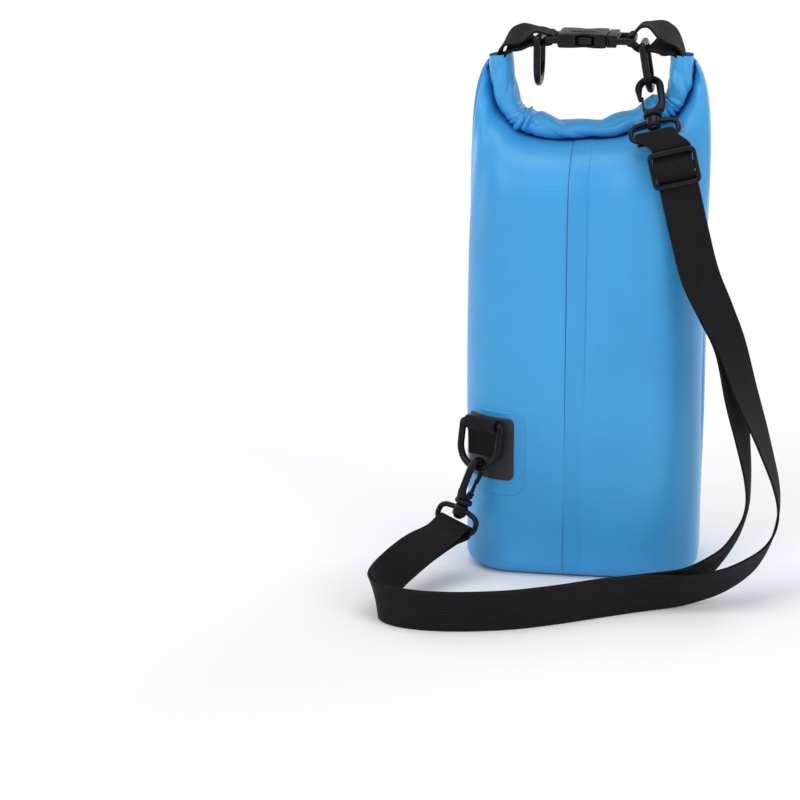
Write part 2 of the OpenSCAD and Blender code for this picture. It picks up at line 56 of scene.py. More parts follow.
# ---------------------------------------------------------------- sizes of the cut and moulded parts
BAG_W, BAG_D, CORNER_R, BULGE = 154.0, 92.0, 34.0, 3.0
SHOULDER_Z, SHOULDER_RISE = 240.0, 26.0
EDGE_R = 10.0
FLAT_X, FLAT_Y = BAG_W / 2 - CORNER_R, BAG_D / 2 - CORNER_R
QUARTER = FLAT_X + CORNER_R * PI / 2 + FLAT_Y
ROLL_HALF_W, ROLL_HALF_T, ROLL_END_GAIN = 13.0, 5.7, 3.3
ROLL_PATH = np.array([
    (-58, 0, 340), (-57.4, 0, 324), (-53, 0, 310.5), (-41, 0, 301.5), (-22, 0, 294), (0, 0, 290),
    (22, 0, 289.5), (41, 0, 293.5), (52, 0, 304), (57.4, 0, 321), (59.5, 0, 338)], float)
WINDOW_HALF_ARC, WINDOW_LOW, WINDOW_HIGH, BORDER = 58.5, 24.0, 240.0, 8.0
WEB_W, WEB_T = 25.0, 1.6
RING_R, RING_W, RING_H = 2.3, 35.0, 34.0
BOW_R = RING_W / 2 - RING_R
LEG = RING_H - 2 * RING_R - BOW_R
BUCKLE_Z = 349.0


# ---------------------------------------------------------------- vectors and curves
def unit(v):
    v = np.asarray(v, float)
    return v / np.linalg.norm(v)


def across(v, direction):
    v, direction = np.asarray(v, float), unit(direction)
    return unit(v - (v @ direction) * direction)


def mix(a, b, k):
    return a + (b - a) * k


def smooth(x, low, high):
    k = np.clip((x - low) / (high - low), 0, 1)
    return k * k * (3 - 2 * k)


def spline(keys, places):
    """Catmull-Rom curve through keys, read at places from 0 to len(keys) - 1."""
    keys, places = np.asarray(keys, float), np.asarray(places, float)
    last = len(keys) - 1
    i = np.minimum(np.floor(places).astype(int), last - 1).clip(0)
    k = (places - i)[..., None]
    p0, p1 = keys[(i - 1).clip(0)], keys[i]
    p2, p3 = keys[i + 1], keys[(i + 2).clip(0, last)]
    return 0.5 * (2 * p1 + (p2 - p0) * k + (2 * p0 - 5 * p1 + 4 * p2 - p3) * k ** 2
                  + (3 * p1 - p0 - 3 * p2 + p3) * k ** 3)


def through(keys, steps):
    return spline(keys, np.linspace(0, len(keys) - 1, (len(keys) - 1) * steps + 1))


# ---------------------------------------------------------------- the bag's own surface
def swell(x):
    return BULGE * np.cos(PI / 2 * np.minimum(1, np.abs(x) / (BAG_W / 2)))


def wall(t, side, d=0.0):
    """Point of the wall at arc t from the middle of a face, d proud of it.

    side is 1 on the back, -1 on the front.
    """
    t, side, d = np.broadcast_arrays(*(np.asarray(v, float) for v in (t, side, d)))
    arc = np.minimum(np.abs(t), QUARTER)
    turn = np.clip((arc - FLAT_X) / CORNER_R, 0, PI / 2)
    x = np.where(arc <= FLAT_X, arc, FLAT_X + (CORNER_R + d) * np.sin(turn))
    y = np.where(arc <= QUARTER - FLAT_Y, FLAT_Y + (CORNER_R + d) * np.cos(turn), QUARTER - arc)
    y = np.where(y > 0.01, y + swell(x), y)
    return np.stack([np.sign(t) * x, side * y], -1)


def wall3(t, z, side, d=0.0):
    t, z, d = np.broadcast_arrays(*(np.asarray(v, float) for v in (t, z, d)))
    return np.concatenate([wall(t, side, d), z[..., None]], -1)


def arc_of(x):
    """Arc at which the wall is x away from the middle."""
    x = np.asarray(x, float)
    turn = np.arcsin(np.clip((np.abs(x) - FLAT_X) / CORNER_R, 0, 1))
    return np.sign(x) * np.where(np.abs(x) <= FLAT_X, np.abs(x), FLAT_X + CORNER_R * turn)


def roll_at(s):
    return spline(ROLL_PATH, (np.asarray(s, float) + 1) / 2 * (len(ROLL_PATH) - 1))


def roll_out(s):
    d = roll_at(np.minimum(s + 0.02, 1)) - roll_at(np.maximum(s - 0.02, -1))
    d /= np.linalg.norm(d, axis=-1, keepdims=True)
    return np.stack([d[..., 2], 0 * d[..., 0], -d[..., 0]], -1)


def roll_half(s):
    return ROLL_HALF_T + ROLL_END_GAIN * np.abs(s)


TURN_STEP = 2.3     # how much a turn of the doubled cloth takes off the roll's half width
CLOTH_GAP = 0.9     # between the two layers


def roll_point(s, phi, layer):
    """Point of the rolled mouth. phi is 0 at the front, 90 at the rim, 180 at the back, 270 underneath."""
    turns = np.maximum(phi, 0) / 360
    half_w = ROLL_HALF_W - 0.3 - TURN_STEP * turns - CLOTH_GAP * layer
    half_t = roll_half(s) - 0.2 - (TURN_STEP - 0.55) * turns - CLOTH_GAP * layer
    a = np.radians(phi)
    rim = np.sign(np.sin(a)) * np.abs(np.sin(a)) ** 0.85
    face = np.sign(np.cos(a)) * np.abs(np.cos(a)) ** 0.75
    shape = roll_at(s) - roll_out(s) * (half_t * rim)[..., None]
    shape[..., 1] -= half_w * face
    return shape


def bezier(p0, p1, p2, p3, k):
    k = k[..., None]
    return p0 * (1 - k) ** 3 + 3 * p1 * k * (1 - k) ** 2 + 3 * p2 * k * k * (1 - k) + p3 * k ** 3


TUCK_START, ROLL_START, ROLL_END = -80.0, 22.0, 590.0


def shoulder_front(t, k):
    s = t / QUARTER
    base = wall3(t, SHOULDER_Z, -1)
    end = roll_point(s, ROLL_START + 0 * s, 0.0)
    full = s ** 4
    mid = np.stack([mix(end[..., 0], base[..., 0], 0.35 + 0.75 * full),
                    mix(end[..., 1], base[..., 1], 0.36),
                    end[..., 2] - 15 - 24 * s * s + 28 * full], -1)
    return bezier(base, base + np.stack([0 * s, 0 * s, SHOULDER_RISE + 26 * full], -1), mid, end, k)


def shoulder_back(t, k):
    s = t / QUARTER
    base = wall3(t, SHOULDER_Z, 1)
    end = roll_point(s, TUCK_START + 0 * s, 0.0) + roll_out(s) * 0.7
    end[..., 1] += 5.0
    full = s ** 4
    mid = np.stack([mix(end[..., 0], base[..., 0], 0.35 + 0.75 * full), base[..., 1] * 0.74,
                    end[..., 2] + 5 - 44 * s * s + 28 * full], -1)
    return bezier(base, base + np.stack([0 * s, 0 * s, SHOULDER_RISE + 26 * full], -1), mid, end, k)


# ---------------------------------------------------------------- meshes
def in_scene(name, data):
    thing = bpy.data.objects.new(name, data)
    bpy.context.scene.collection.objects.link(thing)
    return thing


def new_mesh(name, points, faces):
    """Object of points in millimetres; faces are lists of indices."""
    mesh = bpy.data.meshes.new(name)
    mesh.from_pydata((np.asarray(points, float) * MM).tolist(), [], [list(map(int, f)) for f in faces])
    mesh.update()
    mesh.polygons.foreach_set("use_smooth", [True] * len(mesh.polygons))
    return in_scene(name, mesh)


def grid_faces(rows, cols, round_cols=False, keep=None):
    i, j = np.meshgrid(np.arange(rows - 1), np.arange(cols if round_cols else cols - 1), indexing="ij")
    nxt = (j + 1) % cols
    low, high = i * cols, (i + 1) * cols
    quads = np.stack([low + j, low + nxt, high + nxt, high + j], -1).reshape(-1, 4)
    return quads if keep is None else quads[keep.reshape(-1)]


def capped(rows, cols):
    """Faces of a bar: its skin and both ends."""
    return grid_faces(rows, cols, True).tolist() + [
        list(range(cols))[::-1], [(rows - 1) * cols + j for j in range(cols)]]


def looped(rows, cols):
    """Faces of a closed ring: the last section joins the first."""
    last = (rows - 1) * cols
    return grid_faces(rows, cols, True).tolist() + [
        [last + j, last + (j + 1) % cols, (j + 1) % cols, j] for j in range(cols)]


def grid_normals(p):
    """Unit normals of a grid of points, rows first, whose columns run all the way round."""
    n = np.cross((np.roll(p, -1, 1) - np.roll(p, 1, 1)) / 2, np.gradient(p, axis=0))
    return n / np.maximum(np.linalg.norm(n, axis=-1, keepdims=True), 1e-9)


def lay_uv(thing, name, per_point):
    """Stores a pair of numbers per point as the piece's UV map."""
    layer = thing.data.uv_layers.new(name=name)
    index = np.zeros(len(thing.data.loops), int)
    thing.data.loops.foreach_get("vertex_index", index)
    layer.data.foreach_set("uv", np.asarray(per_point, float)[index].ravel())


def store(thing, name, values):
    thing.data.attributes.new(name, "FLOAT", "POINT").data.foreach_set(
        "value", np.asarray(values, np.float32).ravel())


def paint(thing, material):
    thing.data.materials.clear()
    thing.data.materials.append(material)
    return thing


def tidy_mesh(thing, sharp=None, merge=0.01):
    """Merges doubled points, turns the faces outwards and marks the hard edges."""
    b = bmesh.new()
    b.from_mesh(thing.data)
    bmesh.ops.remove_doubles(b, verts=b.verts, dist=merge * MM)
    bmesh.ops.recalc_face_normals(b, faces=b.faces)
    b.to_mesh(thing.data)
    b.free()
    thing.data.polygons.foreach_set("use_smooth", [True] * len(thing.data.polygons))
    if sharp is not None:
        thing.data.set_sharp_from_angle(angle=math.radians(sharp))
    return thing


def joined(name, things, sharp=None):
    """One piece out of several closed shells."""
    points, faces, first, materials = [], [], 0, None
    for thing in things:
        co = np.zeros(len(thing.data.vertices) * 3)
        thing.data.vertices.foreach_get("co", co)
        points.append(co.reshape(-1, 3) / MM)
        faces += [[v + first for v in face.vertices] for face in thing.data.polygons]
        first += len(co) // 3
        materials = thing.data.materials[0] if len(thing.data.materials) else materials
        bpy.data.objects.remove(thing)
    whole = new_mesh(name, np.concatenate(points), faces)
    if materials is not None:
        paint(whole, materials)
    if sharp is not None:
        whole.data.set_sharp_from_angle(angle=math.radians(sharp))
    return whole


def moved(thing, matrix):
    thing.data.transform(matrix)
    return thing


def stand(at, ex, ez):
    """Matrix of the local frame with Z along ez and X towards ex, at a point in millimetres."""
    z = unit(ez)
    x = across(ex, z)
    y = np.cross(z, x)
    m = Matrix.Identity(4)
    for column, v in enumerate((x, y, z, np.asarray(at, float) * MM)):
        for row in range(3):
            m[row][column] = float(v[row])
    return m


def tube(name, path, radii, sides=20, closed=False, flat=(1.0, 1.0)):
    """Round or oval bar along path. flat scales it along the bar's own normal, near Y, and binormal."""
    path = np.asarray(path, float)
    n = len(path)
    radii = np.broadcast_to(np.asarray(radii, float), n)
    if closed:
        tangent = np.roll(path, -1, 0) - np.roll(path, 1, 0)
    else:
        tangent = np.gradient(path, axis=0)
    tangent /= np.linalg.norm(tangent, axis=1, keepdims=True)
    a = np.arange(sides) * 2 * PI / sides
    rings = []
    for p, d, r in zip(path, tangent, radii):
        side = across((0, 1, 0), d)
        other = np.cross(d, side)
        rings.append(p + r * (flat[0] * np.cos(a)[:, None] * side + flat[1] * np.sin(a)[:, None] * other))
    if not closed:
        start, end = [], []
        for k in (0.35, 0.7, 0.93):
            start.append(path[0] + (rings[0] - path[0]) * math.sqrt(1 - k * k)
                         - tangent[0] * radii[0] * k * 0.8)
            end.append(path[-1] + (rings[-1] - path[-1]) * math.sqrt(1 - k * k)
                       + tangent[-1] * radii[-1] * k * 0.8)
        rings = start[::-1] + rings + end
    faces = (looped if closed else capped)(len(rings), sides)
    return tidy_mesh(new_mesh(name, np.concatenate(rings), faces))


def lathe(name, profile, sides=36):
    """Turned piece round local Z from (radius, height) pairs."""
    a = np.arange(sides) * 2 * PI / sides
    rings = np.array([[(r * math.cos(b), r * math.sin(b), z) for b in a] for r, z in profile])
    return tidy_mesh(new_mesh(name, rings.reshape(-1, 3), capped(len(profile), sides)), sharp=50)


def rounded(w, h, r, steps=7, cx=0.0, cy=0.0):
    """Outline of a rounded rectangle, anticlockwise."""
    r = min(r, w / 2 - 1e-3, h / 2 - 1e-3)
    out = []
    for q, (sx, sy) in enumerate(((1, 1), (-1, 1), (-1, -1), (1, -1))):
        for a in np.linspace(q * PI / 2, (q + 1) * PI / 2, steps):
            out.append((cx + sx * (w / 2 - r) + r * math.cos(a), cy + sy * (h / 2 - r) + r * math.sin(a)))
    return out


def plate(name, outlines, low, high, bevel=0.5, cuts=2):
    """Moulded plate: first outline is its edge, the others are holes. Lies in XY between low and high."""
    curve = bpy.data.curves.new(name, "CURVE")
    curve.dimensions, curve.fill_mode = "2D", "BOTH"
    for outline in outlines:
        line = curve.splines.new("POLY")
        line.points.add(len(outline) - 1)
        for point, (x, y) in zip(line.points, outline):
            point.co = (x * MM, y * MM, 0, 1)
        line.use_cyclic_u = True
    curve.extrude = ((high - low) / 2 - bevel) * MM
    curve.bevel_depth, curve.bevel_resolution, curve.offset = bevel * MM, cuts, -bevel * MM
    source = in_scene(name, curve)
    mesh = bpy.data.meshes.new_from_object(source.evaluated_get(bpy.context.evaluated_depsgraph_get()))
    bpy.data.objects.remove(source)
    mesh.transform(Matrix.Translation((0, 0, (low + high) / 2 * MM)))
    mesh.materials.clear()
    return tidy_mesh(in_scene(name, mesh), sharp=32, merge=0.002)


UPRIGHT = Matrix.Rotation(PI / 2, 4, "X")      # turns a plate drawn in XY to stand in XZ


# ---------------------------------------------------------------- node tools
class Tree:
    """Short hand for wiring a node tree."""

    def __init__(self, tree):
        self.tree = tree

    def add(self, kind, inputs=None, **settings):
        node = self.tree.nodes.new(kind)
        for key, value in settings.items():
            setattr(node, key, value)
        for key, value in (inputs or {}).items():
            self.put(node.inputs[key], value)
        return node

    def put(self, socket, value):
        if isinstance(value, bpy.types.NodeSocket):
            self.tree.links.new(value, socket)
        elif value is not None:
            socket.default_value = value

    def math(self, operation, a, b=None, c=None, clamp=False):
        kind = "ShaderNodeMath"
        return self.add(kind, {0: a, 1: b, 2: c}, operation=operation, use_clamp=clamp).outputs[0]

    def vector(self, operation, a, b=None, scale=None):
        node = self.add("ShaderNodeVectorMath", {0: a, 1: b}, operation=operation)
        if scale is not None:
            self.put(node.inputs["Scale"], scale)
        return node.outputs[0]

    def blend(self, factor, a, b, mode="MIX"):
        node = self.add("ShaderNodeMix", data_type="RGBA", blend_type=mode)
        self.put(node.inputs[0], factor)
        self.put(node.inputs[6], a)
        self.put(node.inputs[7], b)
        return node.outputs[2]


def group(name, inputs, outputs, kind="ShaderNodeTree"):
    """New node group with sockets given as (name, type, value)."""
    tree = bpy.data.node_groups.new(name, kind)
    for label, socket, value in inputs:
        made = tree.interface.new_socket(name=label, in_out="INPUT", socket_type=socket)
        if value is not None:
            made.default_value = value
    for label, socket in outputs:
        tree.interface.new_socket(name=label, in_out="OUTPUT", socket_type=socket)
    t = Tree(tree)
    return t, t.add("NodeGroupInput").outputs, t.add("NodeGroupOutput")


FLOAT, VECTOR = "NodeSocketFloat", "NodeSocketVector"


def make_uneven():
    """Slow changes of tone and gloss over a surface, and fine specks in them."""
    t, given, out = group("uneven_surface", [
        ("Vector", VECTOR, None), ("Patch size", FLOAT, 0.05), ("Speck size", FLOAT, 0.001)],
        [("Patches", FLOAT), ("Specks", FLOAT)])
    for label, socket, detail in (("Patch size", "Patches", 3.0), ("Speck size", "Specks", 2.0)):
        scale = t.math("DIVIDE", 1.0, given[label])
        noise = t.add("ShaderNodeTexNoise", {"Vector": given["Vector"], "Scale": scale, "Detail": detail})
        t.put(out.inputs[socket], noise.outputs["Fac"])
    return t.tree


def make_cloth_threads():
    """Threads of the base cloth showing through, with a stronger line every few threads."""
    t, given, out = group("coated_threads", [
        ("Vector", VECTOR, None), ("Thread pitch", FLOAT, 0.0009), ("Line pitch", FLOAT, 0.0042),
        ("Fade", FLOAT, 0.5)], [("Height", FLOAT), ("Lines", FLOAT)])
    axes = t.add("ShaderNodeSeparateXYZ", {0: given["Vector"]}).outputs
    waver = t.add("ShaderNodeTexNoise",
                  {"Vector": given["Vector"], "Scale": 34.0, "Detail": 2.0}).outputs["Fac"]

    def wave(axis, pitch):
        turns = t.math("ADD", t.math("DIVIDE", axis, pitch), t.math("MULTIPLY", waver, 0.8))
        return t.math("SINE", t.math("MULTIPLY", turns, 2 * PI))
    warp, weft = wave(axes[0], given["Thread pitch"]), wave(axes[1], given["Thread pitch"])
    lines = t.math("POWER", t.math("ABSOLUTE", wave(axes[1], t.math("MULTIPLY", given["Line pitch"], 2.0))),
                   9.0)
    patchy = t.math("MULTIPLY", lines, t.math("MULTIPLY", waver, 1.6))
    fine = t.math("MULTIPLY", t.math("ADD", warp, weft), t.math("MULTIPLY", given["Fade"], 0.35))
    t.put(out.inputs["Height"], t.math("ADD", fine, patchy))
    t.put(out.inputs["Lines"], patchy)
    return t.tree


def make_webbing_weave():
    """Ribs along the webbing and slanting picks between them, from a map in metres across and along it. Its
    Shade is painted shade, dark in the grooves between ribs and picks.
    """
    t, given, out = group("webbing_weave", [
        ("Vector", VECTOR, None), ("Rib pitch", FLOAT, 0.0018), ("Pick pitch", FLOAT, 0.0014)],
        [("Height", FLOAT), ("Shade", FLOAT)])
    axes = t.add("ShaderNodeSeparateXYZ", {0: given["Vector"]}).outputs
    over = t.math("DIVIDE", axes[0], given["Rib pitch"])
    along = t.math("DIVIDE", axes[1], given["Pick pitch"])
    rib = t.math("ABSOLUTE", t.math("SINE", t.math("MULTIPLY", over, PI)))
    within = t.math("FRACT", over)
    slant = t.math("MULTIPLY", t.math("ABSOLUTE", t.math("SUBTRACT", within, 0.5)), 1.3)
    step = t.math("MULTIPLY", t.math("FLOOR", over), 0.5)
    pick = t.math("SINE", t.math("MULTIPLY", t.math("ADD", t.math("ADD", along, slant), step), 2 * PI))
    pick = t.math("MULTIPLY_ADD", pick, 0.5, 0.5)
    height = t.math("MULTIPLY", t.math("POWER", rib, 0.6), t.math("MULTIPLY_ADD", pick, 0.55, 0.45))
    t.put(out.inputs["Height"], height)
    t.put(out.inputs["Shade"], t.math("MULTIPLY", rib, t.math("MULTIPLY_ADD", pick, 0.7, 0.3)))
    return t.tree


def make_moulded_grain():
    """Fine spark grain of a moulded part, worn paler on its edges."""
    t, given, out = group("moulded_grain", [
        ("Vector", VECTOR, None), ("Grain size", FLOAT, 0.0004), ("Wear", FLOAT, 0.5)],
        [("Height", FLOAT), ("Worn", FLOAT)])
    grain = t.add("ShaderNodeTexNoise", {
        "Vector": given["Vector"], "Scale": t.math("DIVIDE", 1.0, given["Grain size"]), "Detail": 2.0})
    worn = t.add("ShaderNodeTexNoise", {"Vector": given["Vector"], "Scale": 260.0, "Detail": 4.0})
    edge = t.add("ShaderNodeNewGeometry").outputs["Pointiness"]
    rim = t.math("MULTIPLY", t.math("SUBTRACT", edge, 0.52), 9.0, clamp=True)
    t.put(out.inputs["Height"], grain.outputs["Fac"])
    t.put(out.inputs["Worn"], t.math("MULTIPLY", t.math("MULTIPLY", rim, worn.outputs["Fac"]),
                                     given["Wear"], clamp=True))
    return t.tree


UNEVEN, THREADS = make_uneven(), make_cloth_threads()
WEAVE, GRAIN = make_webbing_weave(), make_moulded_grain()


def material(name, roughness=0.5, **sockets):
    """Material with its Principled shader; plain values go straight on its sockets."""
    m = bpy.data.materials.new(name)
    m.use_nodes = True
    m.node_tree.nodes.clear()
    t = Tree(m.node_tree)
    shader = t.add("ShaderNodeBsdfPrincipled")
    shader.inputs["Roughness"].default_value = roughness
    for key, value in sockets.items():
        shader.inputs[key.replace("_", " ")].default_value = value
    out = t.add("ShaderNodeOutputMaterial", {"Surface": shader.outputs[0]})
    return m, t, shader, out


def use(t, tree, inputs):
    node = t.add("ShaderNodeGroup", node_tree=tree)
    for key, value in inputs.items():
        t.put(node.inputs[key], value)
    return node.outputs


def ramp(t, factor, low, high, first, last):
    return t.add("ShaderNodeMapRange", {0: factor, 1: low, 2: high, 3: first, 4: last}).outputs[0]


def object_place(t):
    return t.add("ShaderNodeTexCoord").outputs["Object"]


def unevenness(t, patch, speck):
    return use(t, UNEVEN, {"Vector": object_place(t), "Patch size": patch, "Speck size": speck})


def roughen(t, shader, height, strength, distance):
    """Fine relief from a height, distance deep in metres."""
    relief = t.add("ShaderNodeBump", {"Height": height, "Strength": strength, "Distance": distance})
    t.put(shader.inputs["Normal"], relief.outputs[0])


def make_tarpaulin(name, light, dark, laid="cloth"):
    """Smooth coated cloth. It reads the piece's own map, laid in metres round and up the bag."""
    m, t, shader, _ = material(name, 0.42, Specular_IOR_Level=0.42, Sheen_Weight=0.06, Sheen_Roughness=0.4,
                               Coat_Weight=0.12, Coat_Roughness=0.32)
    place = t.add("ShaderNodeUVMap", uv_map=laid).outputs[0]
    spread = unevenness(t, 0.085, 0.0011)
    threads = use(t, THREADS, {"Vector": place, "Thread pitch": 0.00085, "Line pitch": 0.0036,
                               "Fade": 0.45})
    colour = t.blend(ramp(t, spread["Patches"], 0.35, 0.65, 0.0, 1.0), light, dark)
    shade = ramp(t, threads["Lines"], 0.0, 1.4, 1.0, 0.93)
    t.put(shader.inputs["Base Color"], t.blend(
        1.0, colour, t.add("ShaderNodeCombineColor", {0: shade, 1: shade, 2: shade}).outputs[0],
        "MULTIPLY"))
    t.put(shader.inputs["Roughness"], ramp(t, spread["Patches"], 0.3, 0.7, 0.38, 0.47))
    height = t.math("ADD", t.math("MULTIPLY", threads["Height"], 0.6),
                    t.math("MULTIPLY", spread["Specks"], 0.5))
    roughen(t, shader, height, 0.22, 0.00012)
    return m


def make_webbing(name, thread, deep):
    m, t, shader, _ = material(name, 0.78, Specular_IOR_Level=0.16, Sheen_Weight=0.05, Sheen_Roughness=0.4)
    place = t.add("ShaderNodeUVMap", uv_map="weave").outputs[0]
    weave = use(t, WEAVE, {"Vector": place, "Rib pitch": 0.00179, "Pick pitch": 0.0015})
    fuzz = unevenness(t, 0.02, 0.00035)
    # colour runs from deep in the grooves to thread on the ribs by the weave's Shade: painted shade, with
    # random fuzz patches in it
    tone = t.math("MULTIPLY", weave["Shade"], ramp(t, fuzz["Patches"], 0.3, 0.7, 0.7, 1.0))
    t.put(shader.inputs["Base Color"], t.blend(tone, deep, thread))
    t.put(shader.inputs["Roughness"], ramp(t, fuzz["Specks"], 0.3, 0.7, 0.6, 0.85))
    height = t.math("ADD", weave["Height"], t.math("MULTIPLY", fuzz["Specks"], 0.3))
    roughen(t, shader, height, 0.8, 0.00035)
    return m


def make_moulding(name, fresh, rubbed, rough, wear=0.6, size=0.0004):
    m, t, shader, _ = material(name, rough, Specular_IOR_Level=0.2)
    grain = use(t, GRAIN, {"Vector": object_place(t), "Grain size": size, "Wear": wear})
    spread = unevenness(t, 0.012, 0.0009)
    t.put(shader.inputs["Base Color"], t.blend(grain["Worn"], fresh, rubbed))
    t.put(shader.inputs["Roughness"], ramp(t, spread["Patches"], 0.3, 0.7, rough - 0.05, rough + 0.07))
    roughen(t, shader, grain["Height"], 0.25, 0.00005)
    return m


def make_clear_film():
    """Glass-like film that lets light through to the card."""
    m, t, shader, out = material("pocket_film", 0.06, IOR=1.45, Transmission_Weight=1.0,
                                 Specular_IOR_Level=0.5)
    shader.inputs["Base Color"].default_value = (0.97, 0.98, 1.0, 1)
    spread = unevenness(t, 0.03, 0.004)
    t.put(shader.inputs["Roughness"], ramp(t, spread["Patches"], 0.3, 0.7, 0.04, 0.1))
    roughen(t, shader, spread["Patches"], 0.35, 0.0012)
    rays = t.add("ShaderNodeLightPath").outputs
    through_film = t.math("MAXIMUM", rays["Is Shadow Ray"], rays["Is Diffuse Ray"])
    clear = t.add("ShaderNodeBsdfTransparent").outputs[0]
    mixed = t.add("ShaderNodeMixShader", {0: through_film, 1: shader.outputs[0], 2: clear})
    t.put(out.inputs["Surface"], mixed.outputs[0])
    return m


def make_sheet_stock(name, tone, second, rough, size, depth=0.00004, **sockets):
    """Plain sheet goods such as card, film or fibre board, with a slight mottle."""
    m, t, shader, _ = material(name, rough, **sockets)
    spread = unevenness(t, size, 0.0006)
    t.put(shader.inputs["Base Color"],
          t.blend(ramp(t, spread["Patches"], 0.3, 0.7, 0.0, 1.0), tone, second))
    t.put(shader.inputs["Roughness"], ramp(t, spread["Specks"], 0.3, 0.7, rough - 0.03, rough + 0.05))
    roughen(t, shader, spread["Specks"], 0.3, depth)
    return m


BLUE = make_tarpaulin("blue_tarpaulin", (0.045, 0.365, 0.76, 1), (0.036, 0.315, 0.69, 1))
BLUE_WELD = make_tarpaulin("blue_weld", (0.040, 0.345, 0.735, 1), (0.034, 0.30, 0.67, 1))
WEBBING = make_webbing("black_webbing", (0.015, 0.015, 0.018, 1), (0.002, 0.002, 0.0025, 1))
THREAD = make_moulding("black_thread", (0.012, 0.012, 0.015, 1), (0.03, 0.03, 0.035, 1), 0.6, 0.2)
MOULDING = make_moulding("black_acetal", (0.006, 0.0062, 0.009, 1), (0.028, 0.03, 0.038, 1), 0.33)
GLOSSY = make_moulding("black_acetal_smooth", (0.005, 0.0052, 0.008, 1), (0.025, 0.027, 0.035, 1), 0.22)
CLEAR = make_clear_film()
NAVY = make_sheet_stock("navy_sheet", (0.018, 0.045, 0.12, 1), (0.012, 0.03, 0.085, 1), 0.22, 0.03)
CARD = make_sheet_stock("white_card", (0.76, 0.74, 0.85, 1), (0.70, 0.68, 0.80, 1), 0.5, 0.06)
# dark blue of the strip on the back seam's free edge: painted shadow line
CUT_EDGE_SHADOW_BLUE = make_sheet_stock("cut_edge_painted_shadow", (0.012, 0.10, 0.24, 1), (0.02, 0.14, 0.32, 1), 0.6, 0.01)
FIBRE = make_sheet_stock("black_fibre", (0.02, 0.02, 0.024, 1), (0.012, 0.012, 0.015, 1), 0.55, 0.01)
PRINT_DARK = make_sheet_stock("print_dark", (0.022, 0.024, 0.04, 1), (0.03, 0.032, 0.05, 1), 0.45, 0.02)
PRINT_BLUE = make_sheet_stock("print_blue", (0.10, 0.28, 0.55, 1), (0.32, 0.5, 0.72, 1), 0.42, 0.03)
PRINT_GREY = make_sheet_stock("print_grey", (0.42, 0.46, 0.58, 1), (0.58, 0.6, 0.7, 1), 0.45, 0.02)
LINE_BLACK = make_sheet_stock("line_black", (0.012, 0.012, 0.016, 1), (0.02, 0.02, 0.026, 1), 0.5, 0.01)


# ---------------------------------------------------------------- geometry node tools
def run_tree(thing, tree, values):
    """Runs a node tree on a piece with inputs by name and keeps the result as a plain mesh."""
    modifier = thing.modifiers.new("shape", "NODES")
    modifier.node_group = tree
    for item in tree.interface.items_tree:
        if item.item_type == "SOCKET" and item.in_out == "INPUT" and item.name in values:
            modifier[item.identifier] = values[item.name]
    graph = bpy.context.evaluated_depsgraph_get()
    graph.update()
    shaped = thing.evaluated_get(graph)
    mesh = bpy.data.meshes.new_from_object(shaped, preserve_all_data_layers=True, depsgraph=graph)
    thing.modifiers.remove(modifier)
    old = thing.data
    thing.data = mesh
    bpy.data.meshes.remove(old)
    return thing


def make_beads_tree():
    """Small oval beads lying along a line: stitches, or grip ribs when they are wide."""
    t, given, out = group("beads_on_line", [
        ("Line", "NodeSocketGeometry", None), ("Spacing", FLOAT, 0.003), ("Length", FLOAT, 0.0022),
        ("Width", FLOAT, 0.0006), ("Height", FLOAT, 0.0005), ("Finish", "NodeSocketMaterial", None)],
        [("Beads", "NodeSocketGeometry")], "GeometryNodeTree")
    curve = t.add("GeometryNodeMeshToCurve", {0: given["Line"]}).outputs[0]
    even = t.add("GeometryNodeResampleCurve", mode="LENGTH")
    t.put(even.inputs["Curve"], curve)
    t.put(even.inputs["Length"], given["Spacing"])
    bead = t.add("GeometryNodeMeshUVSphere", {"Segments": 8, "Rings": 5, "Radius": 0.5}).outputs[0]
    tangent = t.add("GeometryNodeInputTangent").outputs[0]
    turn = t.add("FunctionNodeAlignRotationToVector", axis="X")
    t.put(turn.inputs["Vector"], tangent)
    size = t.add("ShaderNodeCombineXYZ",
                 {0: given["Length"], 1: given["Width"], 2: given["Height"]}).outputs[0]
    spread = t.add("GeometryNodeInstanceOnPoints", {
        "Points": even.outputs[0], "Instance": bead, "Rotation": turn.outputs[0], "Scale": size}).outputs[0]
    real = t.add("GeometryNodeRealizeInstances", {0: spread}).outputs[0]
    done = t.add("GeometryNodeSetMaterial", {"Geometry": real, "Material": given["Finish"]}).outputs[0]
    t.put(out.inputs[0], done)
    return t.tree


def make_ribs_tree():
    """Raises the ribs of a webbing out of a flat band that stores how far across it each point is."""
    t, given, out = group("ribbed_webbing", [
        ("Band", "NodeSocketGeometry", None), ("Rib pitch", FLOAT, 1.79), ("Rib depth", FLOAT, 0.00016),
        ("Finish", "NodeSocketMaterial", None)], [("Webbing", "NodeSocketGeometry")], "GeometryNodeTree")
    over = t.add("GeometryNodeInputNamedAttribute", {"Name": "across"}, data_type="FLOAT").outputs[0]
    flat = t.add("GeometryNodeInputNamedAttribute", {"Name": "on_face"}, data_type="FLOAT").outputs[0]
    wave = t.math("ABSOLUTE", t.math("SINE",
                                     t.math("MULTIPLY", t.math("DIVIDE", over, given["Rib pitch"]), PI)))
    lift = t.math("MULTIPLY", t.math("MULTIPLY", t.math("POWER", wave, 0.7), given["Rib depth"]), flat)
    normal = t.add("GeometryNodeInputNormal").outputs[0]
    offset = t.vector("SCALE", normal, scale=lift)
    raised = t.add("GeometryNodeSetPosition", {"Geometry": given["Band"], "Offset": offset}).outputs[0]
    real = t.add("GeometryNodeRealizeInstances", {0: raised}).outputs[0]
    t.put(out.inputs[0], t.add("GeometryNodeSetMaterial", {
        "Geometry": real, "Material": given["Finish"]}).outputs[0])
    return t.tree


BEADS, RIBS = make_beads_tree(), make_ribs_tree()


